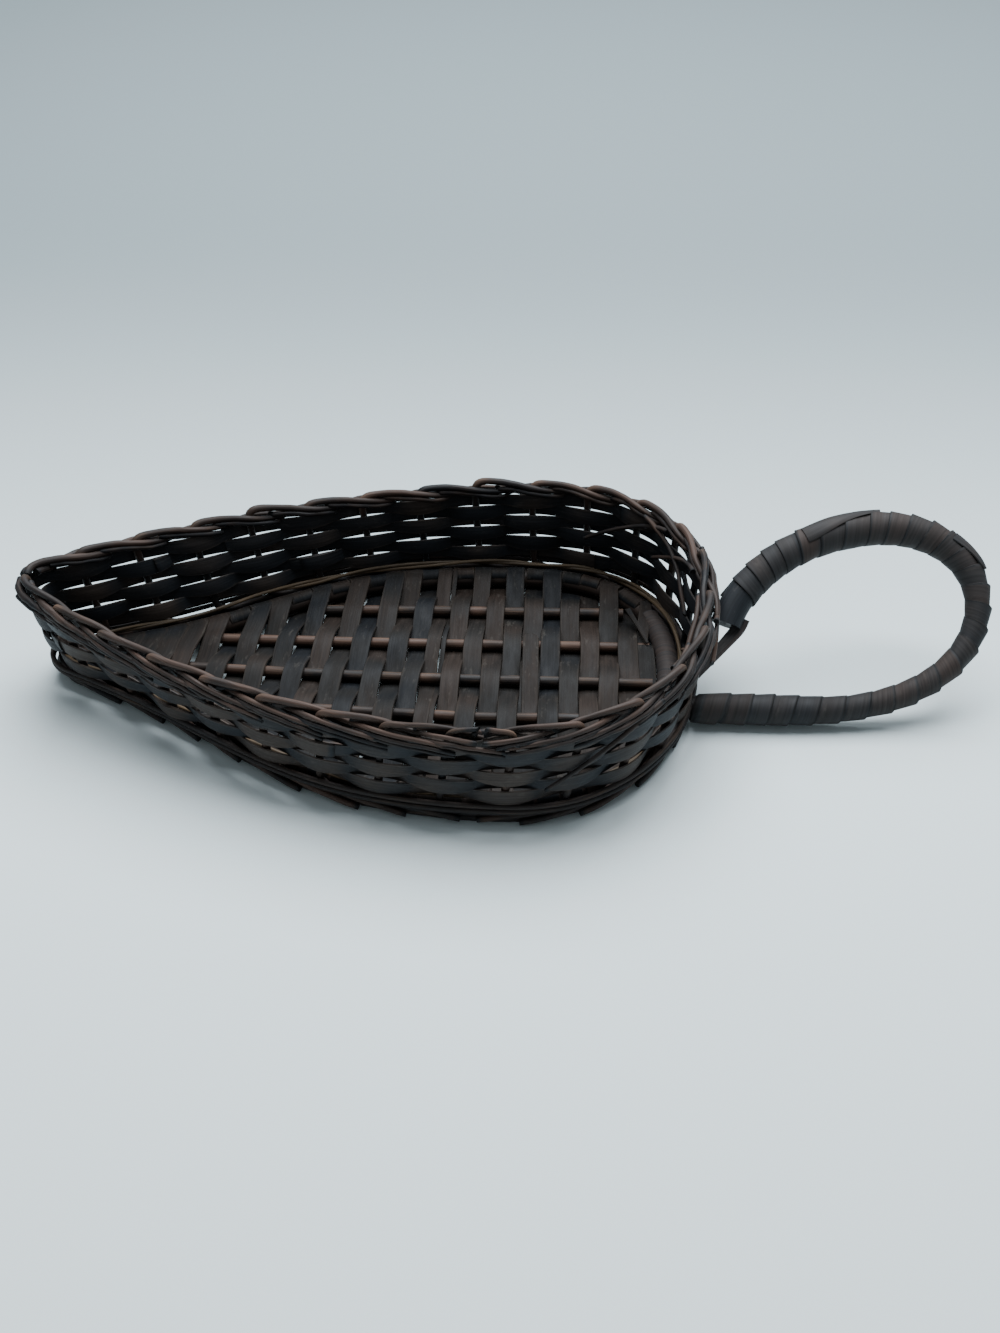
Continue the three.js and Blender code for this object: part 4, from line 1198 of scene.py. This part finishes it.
    def weaver(self, row: int, half: int, rng: np.random.Generator) -> Strand:
        """Weaves one flat strip half way round the wall, its end lapped by the next.

        Args:
            row: Which row, counted from the foot.
            half: Which of the row's two strips.
            rng: Source of chance.

        Returns:
            The strand.
        """
        count = 400
        begin = (row * 11 + half * self.shell.stakes + 5) % self.shell.stations
        length = self.shell.stakes + 2.6
        station = begin + np.linspace(0, length, count)
        share = np.linspace(0, 1, count)
        loose = self.looseness(station % self.shell.stations)
        inside = np.cos(math.pi * (station / 2 + row))
        lapped = ease((share - (1 - 2.8 / length)) / (1.2 / length))
        out = -self.weaver_sway * inside
        out = out + 0.9 * lapped * np.sign(out) * np.abs(inside) ** 0.4
        room = self.shell.rim_height(station) - self.border_depth - self.weaver_bottom
        pitch = room / (self.weaver_count - 1 + (self.pinch + self.spread) / 2)
        z = self.weaver_bottom + pitch * (row + self.pinch / 2)
        z = z + (0.35 + 0.7 * loose) * rough(rng, 400, count, 24)
        wide = self.pinch + (self.spread - self.pinch) * np.abs(inside) ** 0.8
        wide = wide * (1 - 0.16 * loose + 0.06 * rough(rng, 400, count, 30))
        path = self.shell.at(station, z, out)
        top = self.shell.at(station, z + 1, out)
        side = unit(top - path) * (pitch * wide / 2)[:, None]
        # Painted shade: a strip is darker where it passes between two stakes; painted light and shade
        # also make it lighter on the near side of the wall and darker on the far side.
        bulge = np.abs(inside) ** 0.6
        return Strand(
            f"weaver_{row + 1}_strip_{half + 1}", Section.FLAT, path, side, self.weaver_thickness,
            WEAVERS, (f"wall_weaver_{row + 1}",), crown=0.25 * inside,
            fold=0.55 * inside * (0.6 + 0.4 * rough(rng, 400, count, 40)),
            tone=drawn(rng, 0.45, 0.25, 0.0, 0.95),
            shade=0.3 * rough(rng, 400, count, 15) - 0.55 * (1 - bulge) + 0.26 * self.painted_side_light(station),
            soaked=3.0)

    def build(self) -> None:
        """Makes every piece of the wall."""
        rng = np.random.default_rng(SEED + 1)
        for number in range(self.shell.stakes):
            self.stake(number, rng).build(rng)
        for place in range(len(self.tip_rods)):
            self.tip_rod(place, rng).build(rng)
        for number in range(-2, self.shell.stakes + 3):
            self.mate(number, rng).build(rng)
        for number in range(-1, 8):
            self.mate(number, rng, 1).build(rng)
        for part in range(2 + len(self.foot_strands)):
            self.waling(part, rng).build(rng)
        for number in range(self.strays):
            self.stray(number, rng).build(rng)
        for row in range(self.weaver_count):
            for half in range(2):
                self.weaver(row, half, rng).build(rng)


@dataclass
class Handle:
    """Stem loop: a bent core, bound with one flat strip whose turns lap each other."""

    leg_radius: float = 6.2
    bend_radius: float = 4.7
    top_radius: float = 6.8
    leg_start: tuple = (86.5, -22.0, 8.907)
    leg_end: tuple = (143.0, -22.0, 8.907)
    # Corners of the three curves of the loop, each from its start to its end.
    bends: tuple = (
        ((143, -22, 8.907), (190.85, -22, 8.907), (225.5, -5.963, 24.944), (225.5, 16.184, 47.091)),
        ((225.5, 16.184, 47.091), (225.5, 31.153, 62.06), (206.81, 41.993, 72.9), (181, 41.993, 72.9)),
        ((181, 41.993, 72.9), (146.347, 41.993, 72.9), (112.374, 27.335, 58.242), (103.329, 7.093, 38)),
    )
    lean: tuple = (0.0, -math.sin(math.radians(45)), math.cos(math.radians(45)))
    bound_to: float = 309.0
    strip_thickness: float = 0.7
    # Name of each loose tail, where it runs, its angles, how far it stands off, and half its spread.
    loose_tails: tuple = (
        ("handle_lying_tail", (270.0, 233.0), (62.0, 8.0), (0.0, 0.3), 34.0),
        ("handle_lifted_tail", (199.0, 180.0), (52.0, 34.0), (-0.1, 0.5), 20.0),
    )
    # The way that the tie's flat face looks, and its foot above the strap's own lowest corner.
    tie_face: tuple = (0.1, 0.79, -0.61)
    tie_foot: tuple = (1.2, 3.6, 0.9)
    # For each tail how far it lies aside, and half of its width.
    tie_tails: tuple = ((-2.7, 2.7), (0.9, 1.1))
    pitch_places: tuple = (0, 30, 60, 125, 150, 235, 246, 262, 271, 324)
    pitches: tuple = (12.5, 10, 12, 12.5, 9.5, 9.3, 15, 13, 8.4, 9.0)

    def __post_init__(self) -> None:
        """Draws the core's centre line once, finely."""
        fine = 400
        t = np.linspace(0, 1, fine)[:, None]
        runs = [np.array(self.leg_start) * (1 - t) + np.array(self.leg_end) * t]
        runs += [cubic(bend, fine)[1:] for bend in self.bends]
        self.line = even(np.vstack(runs), 4 * fine)
        self.length = reached(self.line, False)[-1]
        along = tangents(self.line, False)
        self.out = unit(np.cross(along, np.array(self.lean)))

    def radius_at(self, distance: Array) -> Array:
        """Gives the core's radius, which is least on the far bend."""
        share = np.asarray(distance) / self.length
        leg = self.leg_radius + (self.bend_radius - self.leg_radius) * ease((share - 0.12) / 0.14)
        return leg + (self.top_radius - leg) * ease((share - 0.48) / 0.18)

    def beside(self, distance: Array, angle: Array, radius: Array) -> Array:
        """Finds places round the centre line, at angles from the loop's outside to its lean."""
        held = np.clip(distance, 0, self.length) / self.length * (len(self.line) - 1)
        rows = np.arange(len(self.line))
        place, out = (np.stack([np.interp(held, rows, line[:, k]) for k in range(3)], 1)
                      for line in (self.line, self.out))
        return around(place, unit(out), np.array(self.lean), radius, angle)

    def middle(self, start: float, count: int) -> tuple[Array, Array, Array]:
        """Walks the centre line from a distance to its end, with a square direction and the radius."""
        distance = np.linspace(start, self.length, count)
        nought = np.zeros(count)
        path = self.beside(distance, nought, nought)
        return path, self.beside(distance, nought, nought + 1) - path, self.radius_at(distance)

    def core(self) -> Strand:
        """Bends the core."""
        path, side, radius = self.middle(0.0, 180)
        return Strand("handle_core_rod", Section.ROUND, path, side, radius, RODS,
                      ("handle_core",), sides=20, tone=-0.2)

    def sleeve(self) -> Strand:
        """Wraps the core's upper end in a smooth dark strip that lies along it."""
        path, side, radius = self.middle(self.bound_to - 8, 30)
        return Strand("handle_end_sleeve", Section.ROUND, path, side, radius + 0.75, WEAVERS,
                      ("handle_binding",), sides=24, tone=0.1, shade=-0.2)

    def turns(self, rng: np.random.Generator) -> Array:
        """Tells where each turn starts: wide on the lower leg and the top, narrow by the basket."""
        starts = [6.0]
        while starts[-1] < self.bound_to - 5:
            pitch = float(np.interp(starts[-1], self.pitch_places, self.pitches))
            starts.append(starts[-1] + pitch * rng.uniform(0.94, 1.06))
        return np.array(starts)

    def binding(self, rng: np.random.Generator) -> Strand:
        """Winds the strip from the lower leg to the upper end in one unbroken run."""
        starts = self.turns(rng)
        last = len(starts) - 1
        count = last * 32
        turn = np.linspace(0, last, count)
        distance = np.interp(turn, np.arange(last + 1), starts)
        pitch = np.interp(distance, self.pitch_places, self.pitches)
        half = np.minimum(0.62 * pitch + 0.9, distance)
        angle = turn * 2 * math.pi
        edges = []
        slack = 0.1 * rough(rng, count, count, 19)
        for edge, proud in ((-1, 0.4), (1, 1.35)):
            place = distance + edge * half * (1 + 0.05 * rough(rng, count, count, 23))
            edges.append(self.beside(place, angle, self.radius_at(place) + proud + slack))
        # Painted shadow darkens both edges of every turn of the strip.
        return Strand(
            "handle_binding_strip", Section.FLAT, *strip_between(edges), self.strip_thickness, WRAPS,
            ("handle_binding",), crown=0.05, tone=0.55, seam_shadow=-1.5,
            shade=0.35 * rough(rng, count, count, 24))

    def lapped(self, name: str, distance: tuple, angle: tuple, lift: tuple, spread: float,
               rng: np.random.Generator) -> Strand:
        """Lays a loose tail of the strip on the finished binding.

        Args:
            name: Name of the piece.
            distance: Where it starts and ends along the handle.
            angle: Where it starts and ends round the handle, in degrees.
            lift: How far it stands off at its start and its end.
            spread: Half of the angle that it covers, in degrees.
            rng: Source of chance.

        Returns:
            The strand.
        """
        share = np.linspace(0, 1, 40)
        place = distance[0] + (distance[1] - distance[0]) * share
        turn = np.radians(angle[0] + (angle[1] - angle[0]) * ease(share))
        off = self.radius_at(place) + 1.75 + lift[0] + (lift[1] - lift[0]) * share ** 2
        edges = [self.beside(place, turn + side * math.radians(spread), off) for side in (-1, 1)]
        sag = float(np.mean(off)) * (1 - math.cos(math.radians(spread)))
        middle, half = strip_between(edges)
        half = half * (1 - 0.5 * ease((share - 0.8) / 0.2))[:, None]
        axis = self.beside(place, turn, np.zeros(40))
        outward = unit(middle - axis)
        face = unit(np.cross(half, tangents(middle, False)))
        crown = sag * np.sign(np.sum(face * outward, 1))
        return Strand(name, Section.FLAT, middle, half, self.strip_thickness, WRAPS, crown=crown,
                      tone=0.45, wear=0.15, shade=0.2 * rough(rng, 60, 40, 12))

    def tie(self, part: int) -> Strand:
        """Ties the upper end down to the wall with one of the strip's two split tails."""
        low = np.array(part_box("handle_strap")[0]) / MM - FROM_TRAY
        distance = self.length * np.array([0.98, 0.99, 1.0])
        ride = self.radius_at(distance) + 1.4
        over = self.beside(distance, np.full(3, math.pi), ride)
        corners = np.vstack([over, low + self.tie_foot])
        path = rounded(corners, 1.2, 2.0)
        side = unit(np.cross(tangents(path, False), np.array(self.tie_face)))
        narrow = np.linspace(1, 0.55, len(path))[:, None]
        aside, half = self.tie_tails[part]
        path = path + side * narrow * aside
        return Strand(f"handle_tie_strip_{part + 1}", Section.FLAT, path, side * narrow * half, 0.9,
                      WRAPS, ("handle_strap",), tone=0.4 + 0.2 * part)

    def build(self) -> None:
        """Makes every piece of the handle."""
        rng = np.random.default_rng(SEED + 2)
        self.core().build(rng)
        self.sleeve().build(rng)
        self.binding(rng).build(rng)
        for tail in self.loose_tails:
            self.lapped(*tail, rng).build(rng)
        for part in range(len(self.tie_tails)):
            self.tie(part).build(rng)


@dataclass
class Studio:
    """Pale sheet, soft light from above, and the camera."""

    eye: tuple = (33.046, -702.27, 560.20)
    forward: tuple = (-0.03998, 0.78914, -0.61291)
    roll_degrees: float = -0.55
    focal_px: float = 1800.0
    long_side_px: float = 1333.0
    sheet_reach: float = 9000.0
    pale_until: float = -200.0
    dark_from: float = 600.0

    def camera(self) -> None:
        """Sets the camera where the photograph was taken from."""
        data = bpy.data.cameras.new("camera")
        data.sensor_width = 36.0
        data.lens = self.focal_px * 36.0 / self.long_side_px
        data.clip_start = 0.05
        data.clip_end = 20
        camera = bpy.data.objects.new("camera", data)
        bpy.context.scene.collection.objects.link(camera)
        ahead = Vector(self.forward).normalized()
        right = ahead.cross(Vector((0, 0, 1))).normalized()
        above = right.cross(ahead)
        roll = math.radians(self.roll_degrees)
        turned = right * math.cos(roll) + above * math.sin(roll)
        top = -right * math.sin(roll) + above * math.cos(roll)
        axes = Matrix((turned, top, -ahead)).transposed().to_4x4()
        camera.matrix_world = Matrix.Translation(Vector(self.eye) * MM) @ axes
        bpy.context.scene.camera = camera

    def stage(self) -> None:
        """Lays one wide pale sheet, with painted shade that darkens it behind the tray."""
        deselect()
        bpy.ops.mesh.primitive_plane_add(size=2 * self.sheet_reach * MM)
        sheet = bpy.context.object
        sheet.name = "table_sheet"
        paint = bpy.data.materials.new("matt_white_sheet")
        paint.use_nodes = True
        tree = paint.node_tree
        tree.nodes.clear()
        place = add_node(tree, "ShaderNodeTexCoord", {}, {})
        axes = add_node(tree, "ShaderNodeSeparateXYZ", {}, {"Vector": place.outputs["Object"]})
        # Painted shade: the sheet's colour darkens from pale to grey between these two distances behind
        # the tray.
        depth = add_node(tree, "ShaderNodeMapRange", {"interpolation_type": "SMOOTHERSTEP"}, {
            "Value": axes.outputs["Y"], "From Min": self.pale_until * MM,
            "From Max": self.dark_from * MM})
        tone = add_mix(tree, depth.outputs[0], linear("d6e3e6"), linear("7f8c91"))
        shader = add_node(tree, "ShaderNodeBsdfPrincipled", {}, {
            "Base Color": tone, "Roughness": 0.85, "Specular IOR Level": 0.2})
        add_node(tree, "ShaderNodeOutputMaterial", {}, {"Surface": shader.outputs[0]})
        sheet.data.materials.append(paint)

    def lamp(self, name: str, place: tuple, aim: tuple, size: float, power: float, colour: str) -> None:
        """Hangs one soft lamp.

        Args:
            name: Name of the lamp.
            place: Where it hangs.
            aim: What it points at.
            size: Side of its square face.
            power: Watts.
            colour: Hex colour of its light.
        """
        data = bpy.data.lights.new(name, "AREA")
        data.shape = "SQUARE"
        data.size = size * MM
        data.energy = power
        data.color = linear(colour)[:3]
        lamp = bpy.data.objects.new(name, data)
        bpy.context.scene.collection.objects.link(lamp)
        lamp.location = Vector(place) * MM
        toward = Vector(aim) * MM - lamp.location
        lamp.rotation_euler = toward.to_track_quat("-Z", "Y").to_euler()

    def light(self) -> None:
        """Lights the table from above, a little from behind."""
        world = bpy.data.worlds.new("soft_room")
        world.use_nodes = True
        back = world.node_tree.nodes["Background"]
        back.inputs["Color"].default_value = linear("dfe6ea")
        back.inputs["Strength"].default_value = 0.38
        bpy.context.scene.world = world
        self.lamp("overhead", (90, 560, 1300), (0, 0, 0), 1500, 68, "f7fbff")

    def build(self) -> None:
        """Sets up the whole studio."""
        self.camera()
        self.stage()
        self.light()


def main() -> None:
    """Builds the tray piece by piece, then the studio."""
    logging.basicConfig(level=logging.INFO, format="%(message)s")
    Studio().build()
    shell = Shell()
    Base(shell).build()
    Wall(shell).build()
    Handle().build()


if __name__ == "__main__":
    main()
